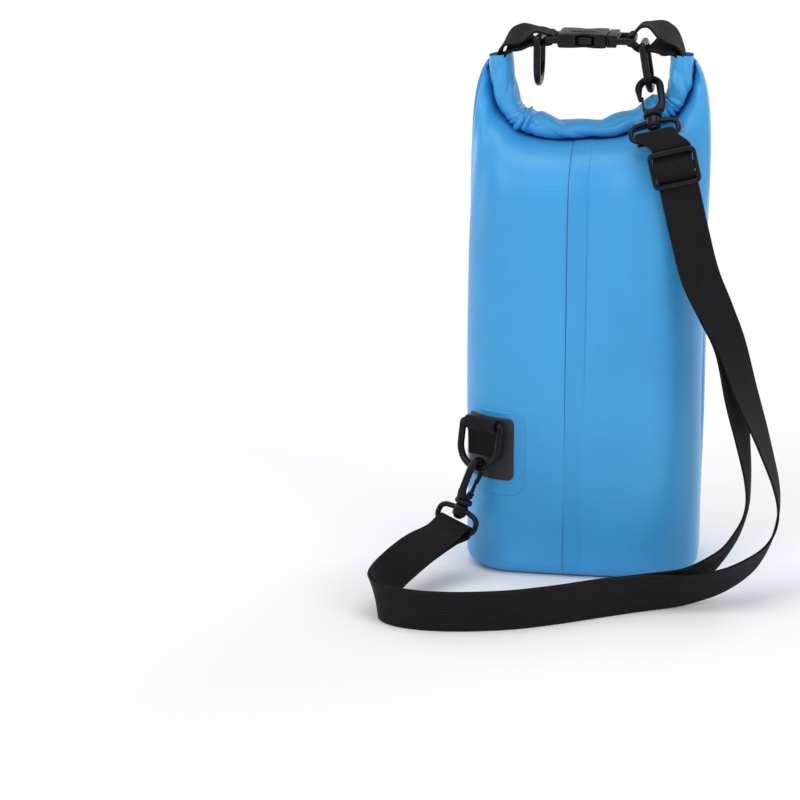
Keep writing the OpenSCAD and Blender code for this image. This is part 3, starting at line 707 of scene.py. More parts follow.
def beads(name, lines, spacing, length, width, height, finish=None):
    """Stitches or ribs along one or more lines of points."""
    finish = finish or THREAD
    mesh = bpy.data.meshes.new(name)
    points, edges = [], []
    for line in lines:
        edges += [(len(points) + i, len(points) + i + 1) for i in range(len(line) - 1)]
        points += [tuple(float(v) * MM for v in p) for p in line]
    mesh.from_pydata(points, edges, [])
    thing = in_scene(name, mesh)
    run_tree(thing, BEADS, {"Spacing": spacing * MM, "Length": length * MM, "Width": width * MM,
                            "Height": height * MM, "Finish": finish})
    thing.data.polygons.foreach_set("use_smooth", [True] * len(thing.data.polygons))
    return paint(thing, finish)


# ---------------------------------------------------------------- bands of webbing
RIB_PITCH = WEB_W / 14
FACE_STEP, SELVEDGE = 0.36, 0.5     # between points across a face, and its plain edge


def band(name, path, widths, stations=None, width=WEB_W, thick=WEB_T, slant=False, squeeze=None):
    """Ribbed webbing along path, its width along widths. stations cuts the path to a part of it."""
    path, widths = np.asarray(path, float), np.asarray(widths, float)
    tangent = np.gradient(path, axis=0)
    tangent /= np.linalg.norm(tangent, axis=1, keepdims=True)
    w = widths if slant else widths - (widths * tangent).sum(1, keepdims=True) * tangent
    w = w / np.linalg.norm(w, axis=1, keepdims=True)
    n = np.cross(tangent, w)
    n /= np.linalg.norm(n, axis=1, keepdims=True)
    run = np.concatenate([[0], np.cumsum(np.linalg.norm(np.diff(path, axis=0), axis=1))])
    if stations is not None:
        low, high = stations
        path, w, n, run = path[low:high], w[low:high], n[low:high], run[low:high]
    count = int(round(width / FACE_STEP))
    u = np.linspace(-1, 1, count) * (width / 2 - SELVEDGE)
    half = thick / 2 - 0.14
    top = [(x, half, 1) for x in u]
    low = [(x, -half, 1) for x in u[::-1]]
    right = [(width / 2 - 0.12, half * 0.72, 0), (width / 2, 0, 0), (width / 2 - 0.12, -half * 0.72, 0)]
    left = [(-x, -y, f) for x, y, f in right]
    section = np.array(top + right + low + left)
    sx, sy = section[:, 0], section[:, 1]
    if squeeze is not None:
        w = w * np.asarray(squeeze)[:, None]
    rings = path[:, None] + w[:, None] * sx[None, :, None] + n[:, None] * sy[None, :, None]
    rows, cols = rings.shape[:2]
    faces = grid_faces(rows, cols, True)[:, ::-1].tolist()
    faces += [list(range(cols)), [(rows - 1) * cols + j for j in range(cols)][::-1]]
    thing = new_mesh(name, rings.reshape(-1, 3), faces)
    store(thing, "across", np.tile(sx + width / 2, rows))
    store(thing, "on_face", np.tile(section[:, 2], rows))
    place = np.stack([np.tile((sx + width / 2) * MM, rows), np.repeat(run * MM, cols)], -1)
    lay_uv(thing, "weave", place)
    run_tree(thing, RIBS, {"Rib pitch": RIB_PITCH, "Rib depth": 0.14 * MM, "Finish": WEBBING})
    thing.data.set_sharp_from_angle(angle=math.radians(75))
    return paint(thing, WEBBING)


def flat_keys(keys, steps):
    """Path and width directions from keys of (x, y, z, wx, wy, wz)."""
    line = through(keys, steps)
    return line[:, :3], line[:, 3:]


def lifted(keys, lift):
    keys = np.asarray(keys, float)
    out = keys.copy()
    for i in range(len(keys)):
        d = unit(keys[min(i + 1, len(keys) - 1), :3] - keys[max(i - 1, 0), :3])
        out[i, :3] += np.cross(d, across(keys[i, 3:], d)) * lift
    return out


# ---------------------------------------------------------------- finishing a piece
def finish_piece(thing, body, nodes=(), finish=None, bend=None):
    """Paints a piece and puts it under its body, or only bakes its place when it is given a bend, and hides
    the nodes it stands for.
    """
    if finish is not None:
        paint(thing, finish)
    if bend is None:
        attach(thing, body)
    else:
        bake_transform(thing)
    if nodes:
        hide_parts(*nodes)


# ---------------------------------------------------------------- the bag
def fold(x, sharp=0.93):
    """Wave with creased tops, from -1 to 1."""
    return np.arcsin(np.sin(x) * sharp) / math.asin(sharp)


def bump_at(x, centre, width):
    return np.exp(-((x - centre) / width) ** 2)


def make_bag():
    """Wall, shoulder and roll in one sheet: columns round the bag, rows up it and into the roll."""
    n_quarter = 94
    t = np.linspace(-QUARTER, QUARTER, 2 * n_quarter + 1)
    arcs = np.concatenate([t, t[::-1][1:-1]])
    sides = np.concatenate([-np.ones(len(t)), np.ones(len(t) - 2)])
    s = arcs / QUARTER
    cols = len(arcs)
    rows, height = [], []
    for a in np.linspace(0, PI / 2, 9):
        xy = wall(arcs, sides, -EDGE_R * (1 - math.sin(a)))
        z = EDGE_R * (1 - math.cos(a))
        rows.append(np.column_stack([xy, np.full(cols, z)]))
        height.append(EDGE_R * a)
    for z in np.linspace(EDGE_R, SHOULDER_Z, 48)[1:]:
        rows.append(wall3(arcs, z, sides))
        height.append(EDGE_R * PI / 2 + z - EDGE_R)
    joint = smooth(np.abs(s), 0.90, 1.0)[:, None]
    n_shoulder, n_tuck, n_roll = 42, 9, 92

    def settled(front, back):
        """Picks each side's point and closes both sides on one line at the ends of the roll."""
        middle = (front + back) / 2
        own = np.where((sides < 0)[:, None], front, back)
        return own + (middle - own) * joint
    for j in range(1, n_shoulder + n_tuck + 1):
        k_front = j / (n_shoulder + n_tuck)
        front = shoulder_front(arcs, np.full(cols, k_front))
        if j <= n_shoulder:
            back = shoulder_back(arcs, np.full(cols, j / n_shoulder))
        else:
            k = (j - n_shoulder) / n_tuck
            back = roll_point(s, np.full(cols, mix(TUCK_START, ROLL_START, k)), 0.35 + 0.65 * k)
        rows.append(settled(front, back))
        height.append(height[-1] + 1.9)
    for phi in np.linspace(ROLL_START, ROLL_END, n_roll)[1:]:
        angle = np.full(cols, phi)
        rows.append(settled(roll_point(s, angle, 0.0), roll_point(s, angle, 1.0)))
        height.append(height[-1] + 0.9)
    p = np.array(rows)
    height = np.array(height)
    n_rows = len(p)
    roll_row = n_rows - n_roll + 1
    normals = grid_normals(p)
    sample = p[30, 0]
    if normals[30, 0] @ (sample - [0, 0, sample[2]]) < 0:
        normals = -normals

    # soft dents and folds, as heights above the sheet
    z = p[..., 2]
    a = np.broadcast_to(arcs, z.shape)
    side = np.broadcast_to(sides, z.shape)
    share = a / QUARTER
    row = np.broadcast_to(np.arange(n_rows)[:, None], z.shape)
    phi = np.where(row >= roll_row, ROLL_START
                   + (row - roll_row + 1) * (ROLL_END - ROLL_START) / (n_roll - 1), 0)
    rolled = smooth(row.astype(float), roll_row - 4, roll_row + 3)
    waist = smooth(z, 14, 60) * (1 - rolled)
    dents = 0.55 * np.sin(a / 21 + 0.7) * np.sin(z / 46 + 1.1 * side)
    dents += 0.45 * np.sin(a / 12.5 - z / 60 + 2.2 * side) * smooth(z, 40, 120)
    back_only = smooth(side, -0.5, 0.5)
    upper = smooth(z, 205, 262) * (1 - rolled)
    slack = 1.1 * fold(a / 6.1 + 0.018 * z + 0.6, 0.8) * bump_at(np.abs(share), 0.62, 0.13) * upper
    slack += 0.9 * np.sin(a / 8.3 - 0.5) * bump_at(share, -0.25, 0.2) * upper * back_only
    slack += 1.0 * fold(a / 5.2 + 0.05 * z, 0.85) * bump_at(np.abs(share), 0.86, 0.07) * upper
    low = (1 - smooth(z, 4, 46)) * smooth(z, 0.5, 8)
    slack += 0.35 * np.sin(a / 6.5) * low
    lift = (dents + slack) * np.where(row < 9, 0.0, 1.0) * (1 - 0.75 * rolled)
    lift *= np.maximum(waist, 0.3 * upper)
    # the window's own ground stays even under its border
    under = (side < 0) & (np.abs(a) < WINDOW_HALF_ARC + BORDER + 4) & (z < WINDOW_HIGH + BORDER + 3)
    lift = np.where(under, 0.0, lift)
    ease = smooth(np.abs(a), WINDOW_HALF_ARC + BORDER + 3, WINDOW_HALF_ARC + BORDER + 14)
    ease = np.maximum(ease, smooth(z, WINDOW_HIGH + BORDER + 2, WINDOW_HIGH + BORDER + 16))
    lift *= np.where(side < 0, ease, 1.0)
    # gathers where the roll turns up towards its ends
    outer = rolled * (1 - smooth(phi, 300, 345))
    lean = phi / 62
    gather = 2.7 * fold((share - 0.43) * 46 + lean, 0.96) * bump_at(share, 0.43, 0.075)
    gather += 1.3 * fold((share - 0.43) * 83 - 1.4 * lean + 1.0, 0.95) * bump_at(share, 0.46, 0.1)
    gather += 2.3 * fold((share + 0.5) * 50 - lean + 0.8, 0.95) * bump_at(share, -0.52, 0.075)
    gather += 1.2 * fold((share + 0.5) * 95 + lean, 0.9) * bump_at(share, -0.56, 0.07)
    gather += 1.7 * fold(phi / 27 + share * 13, 0.93) * bump_at(share, 0.76, 0.13)
    gather += 1.9 * fold(phi / 29 - share * 15, 0.93) * bump_at(share, -0.78, 0.13)
    gather += 1.3 * fold(share * 17 + phi / 38 + 0.6, 0.75) * bump_at(share, 0.14, 0.2)
    gather += 1.4 * fold(share * 21 - phi / 44, 0.8) * bump_at(share, -0.22, 0.18)
    rim = bump_at(phi, 95, 48)
    ripple = (4.4 * bump_at(share, 0.34, 0.15) + 3.2 * bump_at(share, -0.2, 0.12)
              + 5.5 * bump_at(share, -0.42, 0.12) - 1.6 * bump_at(share, 0.03, 0.09))
    tight = 0.9 * (1 - smooth(np.abs(share), 0.8, 0.95))
    lift += outer * (gather * (1 - 0.3 * rim) - tight) + ripple * rim * outer
    p = p + normals * lift[..., None]
    p[..., 2] = np.maximum(p[..., 2], 0.02)
    # ends of the rolled mouth are closed, and the window is cut out
    keep = np.ones((n_rows - 1, cols), bool)
    mid_a = (a + np.roll(a, -1, 1)) / 2
    both = (side < 0) & (np.roll(side, -1, 1) < 0)
    mid_z = (z[:-1] + z[1:]) / 2
    cut = (both[:-1] & (np.abs(mid_a[:-1]) < WINDOW_HALF_ARC + 2.5) & (mid_z < WINDOW_HIGH + 2.5)
           & (mid_z > WINDOW_LOW - 2.5) & (row[:-1] < roll_row - 40))
    keep &= ~cut
    faces = grid_faces(n_rows, cols, True, keep).tolist()
    last = (n_rows - 1) * cols
    half = len(t)
    for j in range(half - 1):
        facing = [(cols - i) % cols for i in (j, j + 1)]
        ring = [last + j, last + j + 1, last + facing[1], last + facing[0]]
        ring = list(dict.fromkeys(ring))
        if len(ring) > 2:
            faces.append(ring)
    thing = new_mesh("bag_cloth", p.reshape(-1, 3), faces)
    across_mm = np.where(side < 0, a, 2 * QUARTER - a)
    up_the_bag = np.broadcast_to(height[:, None], z.shape)
    lay_uv(thing, "cloth", np.stack([across_mm * MM, up_the_bag * MM], -1).reshape(-1, 2))
    thing.data.set_sharp_from_angle(angle=math.radians(80))
    finish_piece(thing, "bag", ("bag_shell", "roll_top"), BLUE)


def divided(outline, count_of):
    """Closed outline with side i, of length run, cut into count_of(i, run) steps."""
    dense = []
    for i, p in enumerate(outline):
        q = outline[(i + 1) % len(outline)]
        n = count_of(i, math.hypot(q[0] - p[0], q[1] - p[1]))
        dense += [(mix(p[0], q[0], k / n), mix(p[1], q[1], k / n)) for k in range(n)]
    return dense


def stepped(outline, longest=2.5):
    """The same outline cut into short steps, so that it can follow the curve of the wall."""
    return np.array(divided(outline, lambda i, run: max(1, math.ceil(run / longest))))


def face_patch(name, outline, heights, side, back=None):
    """Thin piece lying on the wall.

    outline is in arc and height; heights gives how proud it is, from its middle out.
    """
    outline = stepped(outline)
    centre = outline.mean(0)
    levels = np.asarray(heights, float)
    places, d = levels[:, 0], levels[:, 1]
    points, where = [], []
    for k, lift in zip(places, d):
        flat = centre + (outline - centre) * k
        points.append(wall3(flat[:, 0], flat[:, 1], side, lift))
        where.append(flat)
    count = len(outline)
    if back is not None:
        flat = outline
        points.append(wall3(flat[:, 0], flat[:, 1], side, back))
        where.append(flat)
        flat = centre + (outline - centre) * places[0]
        points.append(wall3(flat[:, 0], flat[:, 1], side, back))
        where.append(flat)
    rows = len(points)
    faces = grid_faces(rows, count, True).tolist()
    faces.append(list(range(count))[::-1])
    if back is not None:
        faces.append([(rows - 1) * count + j for j in range(count)])
    thing = tidy_mesh(new_mesh(name, np.concatenate(points), faces), merge=0.0005)
    lay_map_from_place(thing, side)
    return thing


def lay_map_from_place(thing, side):
    """Map laid round and up the bag for a piece that lies on its wall."""
    co = np.zeros(len(thing.data.vertices) * 3)
    thing.data.vertices.foreach_get("co", co)
    co = co.reshape(-1, 3)
    around = arc_of(np.clip(co[:, 0] / MM, -BAG_W / 2, BAG_W / 2)) * MM
    lay_uv(thing, "cloth", np.stack([around, co[:, 2]], -1))


def in_arc(outline):
    """Outline drawn flat in front of the bag, laid round its wall."""
    dense = stepped(outline)
    return np.stack([arc_of(dense[:, 0]), dense[:, 1]], -1)


POCKET_MID = (WINDOW_LOW + WINDOW_HIGH) / 2
POCKET_H = WINDOW_HIGH - WINDOW_LOW
CARD_W, CARD_H = 108, 206


STRAIGHT_STEPS = 50     # along each straight side of the window


def window_outline(grow, r, steps=14):
    """Edge of the window, grown outwards round the wall. Every size has the same number of points."""
    flat = rounded(2 * (WINDOW_HALF_ARC + grow), POCKET_H + 2 * grow, r, steps, 0, POCKET_MID)
    return np.array(divided(flat, lambda i, run: 1 if (i + 1) % steps else STRAIGHT_STEPS))


def ring_on_wall(name, profile, side=-1, r0=14.0):
    """Closed moulding round the window. profile holds (distance out from its edge, how proud it is)."""
    rows = []
    for grow, lift in profile:
        line = window_outline(grow, r0 + 0.75 * grow)
        rows.append(wall3(line[:, 0], line[:, 1], side, lift))
    rings = np.array(rows)
    faces = looped(len(rows), rings.shape[1])
    thing = tidy_mesh(new_mesh(name, rings.reshape(-1, 3), faces), sharp=55, merge=0.0005)
    lay_map_from_place(thing, side)
    return thing


SEAM_X, SEAM_W = 3.6, 11.8


def foot_inset(z):
    """How far the wall draws in at height z, where it turns under the bag."""
    return EDGE_R - math.sqrt(max(0, EDGE_R ** 2 - (EDGE_R - z) ** 2)) if z < EDGE_R else 0


def make_seam():
    """Overlap weld down the middle of the back: a free edge on one side, a faint step on the other."""
    x0, w = SEAM_X, SEAM_W
    # (distance from the band's middle, how proud)
    profile = [(-w / 2 - 0.15, -0.4), (-w / 2 - 0.1, 0.12), (-w / 2 + 0.35, 0.34), (-w / 2 + 1.2, 0.42),
               (-3, 0.46),
               (0, 0.45), (3, 0.44), (w / 2 - 1.0, 0.34), (w / 2, 0.16), (w / 2 + 0.5, 0.04),
               (w / 2 + 0.8, -0.4)]
    rows = []
    for z in np.linspace(2.0, SHOULDER_Z, 60):
        rows.append([wall3(x0 - u, z, 1, lift - foot_inset(z)) for u, lift in profile])
    for k in np.linspace(0, 0.985, 40)[1:]:
        line = []
        for u, lift in profile:
            here = shoulder_back(np.array([x0 - u]), np.array([k]))[0]
            ahead = shoulder_back(np.array([x0 - u]), np.array([min(k + 0.01, 1)]))[0]
            d = unit(ahead - here)
            line.append(here + np.array([0, d[2], -d[1]]) * lift)
        rows.append(line)
    rings = np.array(rows)
    faces = grid_faces(len(rows), len(profile)).tolist()
    thing = tidy_mesh(new_mesh("seam_band", rings.reshape(-1, 3), faces), sharp=50, merge=0.0005)
    lay_map_from_place(thing, 1)
    finish_piece(thing, "bag", ("back_seam",), BLUE_WELD)
    # a dark strip on the cut end of the cloth: painted shadow line along the free edge
    cut = ((-0.25, 0.3), (-0.1, 0.46), (0.2, 0.2), (0.3, -0.3))
    rows = []
    for z in np.linspace(2.0, SHOULDER_Z, 60):
        rows.append([wall3(x0 + w / 2 + u, z, 1, lift - foot_inset(z)) for u, lift in cut])
    for k in np.linspace(0, 0.96, 40)[1:]:
        here = shoulder_back(np.array([x0 + w / 2]), np.array([k]))[0]
        d = unit(shoulder_back(np.array([x0 + w / 2]), np.array([k + 0.01]))[0] - here)
        rows.append([here + np.array([u, d[2] * lift, -d[1] * lift]) for u, lift in cut])
    rings = np.array(rows)
    edge = tidy_mesh(new_mesh("seam_cut_edge_shadow", rings.reshape(-1, 3), grid_faces(len(rows), len(cut))),
                     merge=0.0005)
    finish_piece(edge, "bag", (), CUT_EDGE_SHADOW_BLUE)


def make_base():
    """Flat panel welded inside the turned edge."""
    count = 160
    t = np.concatenate([np.linspace(-QUARTER, QUARTER, count // 2 + 1),
                        np.linspace(QUARTER, -QUARTER, count // 2 + 1)[1:-1]])
    side = np.concatenate([-np.ones(count // 2 + 1), np.ones(count // 2 - 1)])
    rows = []
    edge = wall(t, side, -EDGE_R + 1.0)
    for k, z in ((1.0, 0.9), (1.0, 0.3), (0.985, 0.12), (0.95, 0.3), (0.93, 0.75), (0.91, 0.85), (0.7, 0.9),
                 (0.35, 0.95)):
        rows.append(np.column_stack([edge * k, np.full(len(t), z)]))
    rings = np.array(rows)
    n = len(t)
    faces = grid_faces(len(rows), n, True).tolist() + [[(len(rows) - 1) * n + j for j in range(n)]]
    thing = tidy_mesh(new_mesh("base_cloth", rings.reshape(-1, 3), faces), sharp=60)
    lay_map_from_place(thing, 1)
    finish_piece(thing, "bag", ("base_panel",), BLUE)


def make_pocket():
    """Welded border, printed line, clear film, card with its plain print and the dark lining."""
    border = ring_on_wall("pocket_border", [
        (-0.2, -0.9), (-0.2, 0.45), (0.1, 1.0), (0.7, 1.35), (1.5, 1.3), (2.3, 0.95), (3.1, 0.8),
        (5.2, 0.75),
        (6.4, 0.7), (7.1, 0.5), (7.6, 0.25), (8.0, 0.0), (8.0, -0.3)])
    finish_piece(border, "bag", ("pocket_frame",), BLUE_WELD)
    line = ring_on_wall("pocket_line", [
        (7.75, 0.05), (7.8, 0.42), (8.1, 0.56), (8.6, 0.56), (8.9, 0.42), (8.95, 0.05)])
    finish_piece(line, "bag", (), LINE_BLACK)

    xs, zs = np.linspace(-1, 1, 90), np.linspace(0, 1, 130)
    u, v = np.meshgrid(xs * (WINDOW_HALF_ARC + 2), WINDOW_LOW - 2 + zs * (POCKET_H + 4))
    slack = 0.5 * np.sin(u / 9 + v / 34) * np.sin(v / 21)
    slack += 0.35 * fold(u / 5 - v / 17, 0.8) * bump_at(v, 232, 16)
    slack += 0.3 * fold(v / 6 + u / 30, 0.8) * bump_at(np.abs(u), 54, 7)
    edge = smooth(np.minimum(WINDOW_HALF_ARC + 2 - np.abs(u),
                             np.minimum(v - WINDOW_LOW + 2, WINDOW_HIGH + 2 - v)), 1, 12)
    film_points = wall3(u, v, -1, -0.45 + 0.8 * slack * edge)
    rows, cols = u.shape
    film = new_mesh("clear_window", film_points.reshape(-1, 3), grid_faces(rows, cols))
    thickness = film.modifiers.new("thickness", "SOLIDIFY")
    thickness.thickness, thickness.offset = 0.3 * MM, 0
    finish_piece(film, "bag", ("pocket_window",), CLEAR)

    card_levels = [(k, -1.62) for k in (0.02, 0.2, 0.4, 0.6, 0.8, 0.97)] + [(0.995, -1.66), (1.0, -1.8)]
    card_outline = in_arc(rounded(CARD_W, CARD_H, 8, 8, 0, POCKET_MID))
    card = face_patch("plain_card", card_outline, card_levels, -1, -2.15)
    finish_piece(card, "bag", ("insert_card",), CARD)

    def printed(name, outline, finish, lift=-1.56):
        levels = [(k, lift) for k in (0.05, 0.2, 0.4, 0.6, 0.8, 1.0)]
        finish_piece(face_patch(name, in_arc(outline), levels, -1, lift - 0.05), "bag", (), finish)
    marks_z = POCKET_MID + CARD_H / 2 - 16
    for n, x in enumerate((-27, -9, 9, 27)):
        shape = (
            [(x + 3.7 * math.sin(a) * math.sin(a / 2) ** 1.3, marks_z + 5.0 * math.cos(a))
             for a in np.linspace(PI * 2, 0, 25)[:-1]],
            rounded(6.2, 9.6, 1.4, 5, x, marks_z),
            rounded(8.4, 8.4, 4.2, 8, x, marks_z),
            [(x + (4.9 if k % 2 else 2.0) * math.cos(k * PI / 6), marks_z
              + (4.9 if k % 2 else 2.0) * math.sin(k * PI / 6))
             for k in range(12)])[n]
        printed(f"card_mark_{n + 1}", shape, PRINT_DARK)
    printed("card_heading", rounded(62, 4.6, 1.2, 4, 0, marks_z - 17), PRINT_DARK)
    printed("card_bag_shape", rounded(62, 104, 9, 8, -7, POCKET_MID - 24), PRINT_DARK)
    printed("card_bag_top", rounded(46, 12, 5, 6, -7, POCKET_MID + 35), PRINT_DARK)
    printed("card_window_shape", rounded(36, 72, 6, 8, 4, POCKET_MID - 30), PRINT_GREY, -1.5)
    printed("card_screen", rounded(25, 54, 4, 6, 5, POCKET_MID - 32), PRINT_BLUE, -1.44)
    printed("card_ground", rounded(92, 9, 4.4, 6, 0, POCKET_MID - 86), PRINT_GREY, -1.5)

    w, h = 2 * WINDOW_HALF_ARC + 5, POCKET_H + 10
    tray = [(0.02, -7.25), (0.2, -7.25), (0.4, -7.25), (0.6, -7.25), (0.8, -7.2), (0.955, -6.9),
            (0.985, -6.0), (1.0, -4.0), (1.0, -1.3)]
    lining = face_patch("pocket_lining", rounded(w, h, 7, 8, 0, POCKET_MID), tray, -1)
    shell = lining.modifiers.new("thickness", "SOLIDIFY")
    shell.thickness, shell.offset = 0.5 * MM, 1
    finish_piece(lining, "bag", ("pocket_back",), NAVY)


def make_stiffener():
    places = np.linspace(-0.985, 0.985, 90)
    path = roll_at(places)
    section = rounded(16, 1.1, 0.5, 4)
    rings = []
    for s, p in zip(places, path):
        out = roll_out(np.array([s]))[0]
        rings.append([p + np.array([0, 1, 0]) * y + out * z for y, z in section])
    rings = np.array(rings)
    faces = capped(len(places), len(section))
    thing = tidy_mesh(new_mesh("stiffener_core", rings.reshape(-1, 3), faces), sharp=50)
    finish_piece(thing, "bag", ("stiffener_strip",), FIBRE)


# ---------------------------------------------------------------- welded tab and its ring
TAB_TURN = math.radians(30)
TAB_X = FLAT_X + CORNER_R * math.sin(TAB_TURN)
TAB_AT = np.array([TAB_X, FLAT_Y + CORNER_R * math.cos(TAB_TURN) + float(swell(TAB_X)), 0.0])
TAB_OUT = np.array([math.sin(TAB_TURN), math.cos(TAB_TURN), 0.0])
TAB_SIDE = np.array([math.cos(TAB_TURN), -math.sin(TAB_TURN), 0.0])
TAB_ARC = FLAT_X + CORNER_R * TAB_TURN
TAB_Z, TAB_BAR_OUT, TAB_BAR_Z = 86.0, 6.6, 103.0


def on_tab(x, y, z):
    return TAB_AT + TAB_SIDE * x + TAB_OUT * y + np.array([0, 0, z])


def make_tab():
    patch = face_patch("weld_patch", rounded(52, 57, 9, 8, TAB_ARC, TAB_Z - 3), [
        (0.02, 0.5), (0.25, 0.5), (0.5, 0.52), (0.7, 0.5), (0.86, 0.5), (0.93, 0.42), (0.955, 0.62),
        (0.985, 0.5), (1.0, 0.1), (1.0, -0.3)], 1)
    finish_piece(patch, "bag", ("base_patch",), BLUE_WELD)
    backing = face_patch("tab_backing", rounded(37, 42, 4, 6, TAB_ARC, TAB_Z), [
        (0.02, 1.6), (0.3, 1.6), (0.6, 1.6), (0.93, 1.55), (0.985, 1.35), (1.0, 1.0), (1.0, 0.3)], 1)
    finish_piece(backing, "bag", ("tab_patch",), FIBRE)
    r = RING_R + 0.35 + WEB_T / 2
    line = [(2.7, 80.5), (2.6, 84), (2.6, 90), (2.75, 97)]
    line += [(TAB_BAR_OUT - r * math.cos(a), TAB_BAR_Z + r * math.sin(a))
             for a in np.radians([0, 35, 70, 105, 140, 175, 210, 238])]
    line += [(5.1, 97.4), (4.4, 93), (4.35, 87), (4.4, 81)]
    fine = through([(y, z, 0) for y, z in line], 9)
    path = np.array([on_tab(0, y, z) for y, z, _ in fine])
    webbing = band("tab_fold", path, np.tile(TAB_SIDE, (len(path), 1)))
    finish_piece(webbing, "bag", ("tab_webbing",))
    seam = [[on_tab(x, 5.3, z) for x,
             z in ((-9.5, 83), (9.5, 83), (9.5, 94), (-9.5, 94), (-9.5, 83), (9.5, 94))],
            [on_tab(x, 5.3, z) for x, z in ((-9.5, 94), (9.5, 83))]]
    finish_piece(beads("tab_stitches", seam, 2.6, 2.0, 0.55, 0.5), "bag")


def d_ring(name):
    """Straight bar along X through the origin, its bow hanging towards -Z."""
    corner = 1.6
    path = [(x, 0, 0) for x in np.linspace(-BOW_R + corner, BOW_R - corner, 8)]
    path += [(BOW_R - corner + corner * math.sin(a), 0, -corner + corner * math.cos(a))
             for a in np.linspace(0.3, PI / 2, 5)]
    path += [(BOW_R, 0, z) for z in np.linspace(-corner, -LEG, 6)[1:]]
    path += [(BOW_R * math.cos(a), 0, -LEG - BOW_R * math.sin(a)) for a in np.linspace(0, PI, 29)[1:-1]]
    path += [(-BOW_R, 0, z) for z in np.linspace(-LEG, -corner, 6)]
    path += [(-BOW_R + corner - corner * math.cos(a), 0, -corner + corner * math.sin(a))
             for a in np.linspace(0, PI / 2 - 0.3, 5)[1:]]
    return paint(tube(name, path, RING_R, 24, True), GLOSSY)


FREE_RING_AT, STRAP_RING_AT, RING_LEAN = (34, 0, 349.3), (-33, 0, 346), math.radians(10)


def make_rings():
    quarter_turn = Matrix.Rotation(PI / 2, 4, "Z")
    left = moved(d_ring("free_ring_moulding"), Matrix.Translation(Vector(FREE_RING_AT) * MM) @ quarter_turn)
    finish_piece(left, "free_ring", ("d_ring_left",))
    right = moved(d_ring("strap_ring_moulding"), Matrix.Translation(Vector(STRAP_RING_AT) * MM)
                  @ Matrix.Rotation(RING_LEAN, 4, "Y") @ quarter_turn)
    finish_piece(right, "upper_chain", ("d_ring_right",))
    lower = d_ring("tab_ring_moulding")
    local = (Matrix.Translation(Vector(on_tab(0, TAB_BAR_OUT, TAB_BAR_Z)) * MM)
             @ Matrix.Rotation(-TAB_TURN, 4, "Z") @ Matrix.Rotation(RING_LEAN, 4, "X"))
    finish_piece(moved(lower, local), "lower_chain", ("d_ring_lower",))


# ---------------------------------------------------------------- handle webbing and buckle
HANDLE_LEAN, HANDLE_MIDDLE = 24, 47.5
HANDLE_BEND = ("buckle_socket", (57, 0, 347), (40, 0, 350))


def strap_line(points, steps=10):
    return through([(x, 0, z) for x, z in points], steps)


def tilted(path, middle):
    """Width directions of a handle strap leaning over between mouth and buckle, and its pinch."""
    from_middle = np.abs(path[:, 0] - middle)
    a = np.radians(HANDLE_LEAN) * (1 - smooth(from_middle, 1.5, 12.5))
    return np.stack([0 * a, np.cos(a), -np.sin(a)], -1), 1 - 0.16 * (1 - smooth(path[:, 2], 336, 345))


def handle_stitches(side, places, bend=None):
    """Two rows of stitches across a handle strap, leaning with it."""
    lean = math.tan(math.radians(HANDLE_LEAN))
    rows = [[(x, y, z - y * lean) for y in np.linspace(-8.5, 8.5, 8)] for x, z in places]
    finish_piece(beads("handle_stitches_" + side, rows, 2.4, 1.8, 0.5, 0.4), "bag", bend=bend)


def make_handle():
    bar_r = 2.0 + 0.5 + WEB_T / 2
    left = [(59.5, 324), (60, 334), (58.8, 341), (54.3, 347), (46.5, 350.9), (38.5, 353.4), (33, 353.6),
            (29.8, 352.7)]
    left += [(27.3 + bar_r * 1.02 * math.cos(a), 349 + bar_r * math.sin(a))
             for a in np.radians([75, 110, 150, 190, 230, 265])]
    left += [(30.2, 345.4), (35, 345.2), (41, 346.4), (47, 346.4), (53, 342.6), (56.6, 336), (57.2, 328)]
    path = strap_line(left)
    widths, pinch = tilted(path, HANDLE_MIDDLE)
    web = band("handle_webbing_left", path, widths, squeeze=pinch)
    finish_piece(web, "bag", ("webbing_left",), bend=HANDLE_BEND)
    right = [(-57.5, 324), (-58.6, 334), (-58, 341.5), (-53.6, 348.6), (-46, 354.4), (-38, 358), (-32, 358),
             (-28, 354.2)]
    right += [(-25.9 + bar_r * math.cos(a), 349 + bar_r * math.sin(a))
              for a in np.radians([98, 60, 20, -20, -60, -95])]
    right += [(-29, 343.3), (-33, 342.2), (-38, 343.6), (-44, 345.4), (-50.5, 344.4), (-55.2, 339.5),
              (-56.3, 330)]
    path = strap_line(right)
    widths, pinch = tilted(path, -HANDLE_MIDDLE)
    web = band("handle_webbing_right", path, widths, squeeze=pinch)
    finish_piece(web, "bag", ("webbing_right",))
    handle_stitches("left", ((43.5, 352.8), (49, 350.5)), HANDLE_BEND)
    handle_stitches("right", ((-43.5, 356.6), (-49, 353.2)))


def waisted(x0, x1, half, waist, at, spread, corner=3.0, steps=26):
    """Outline from x0 to x1, half wide, drawn in towards waist round at."""
    xs = np.linspace(x0 + corner, x1 - corner, steps)
    edge = [(x, half - (half - waist) * math.exp(-((x - at) / spread) ** 2)) for x in xs]
    out = []
    for a in np.linspace(0, PI / 2, 6):
        out.append((x1 - corner + corner * math.cos(a), half - corner + corner * math.sin(a)))
    out += [(x, y) for x, y in edge[::-1]][1:-1]
    for a in np.linspace(PI / 2, PI, 6):
        out.append((x0 + corner + corner * math.cos(a), half - corner + corner * math.sin(a)))
    return out + [(x, -y) for x, y in out[::-1]]


def buckle_bar(length, middle, slot):
    """Flat end of a buckle half, with the slot for its webbing."""
    outlines = [rounded(length, 34, 3, 7, middle, 0), rounded(6.4, 27.2, 1.6, 5, slot, 0)]
    return plate("bar", outlines, BUCKLE_Z - 2, BUCKLE_Z + 2, 0.8, 3)


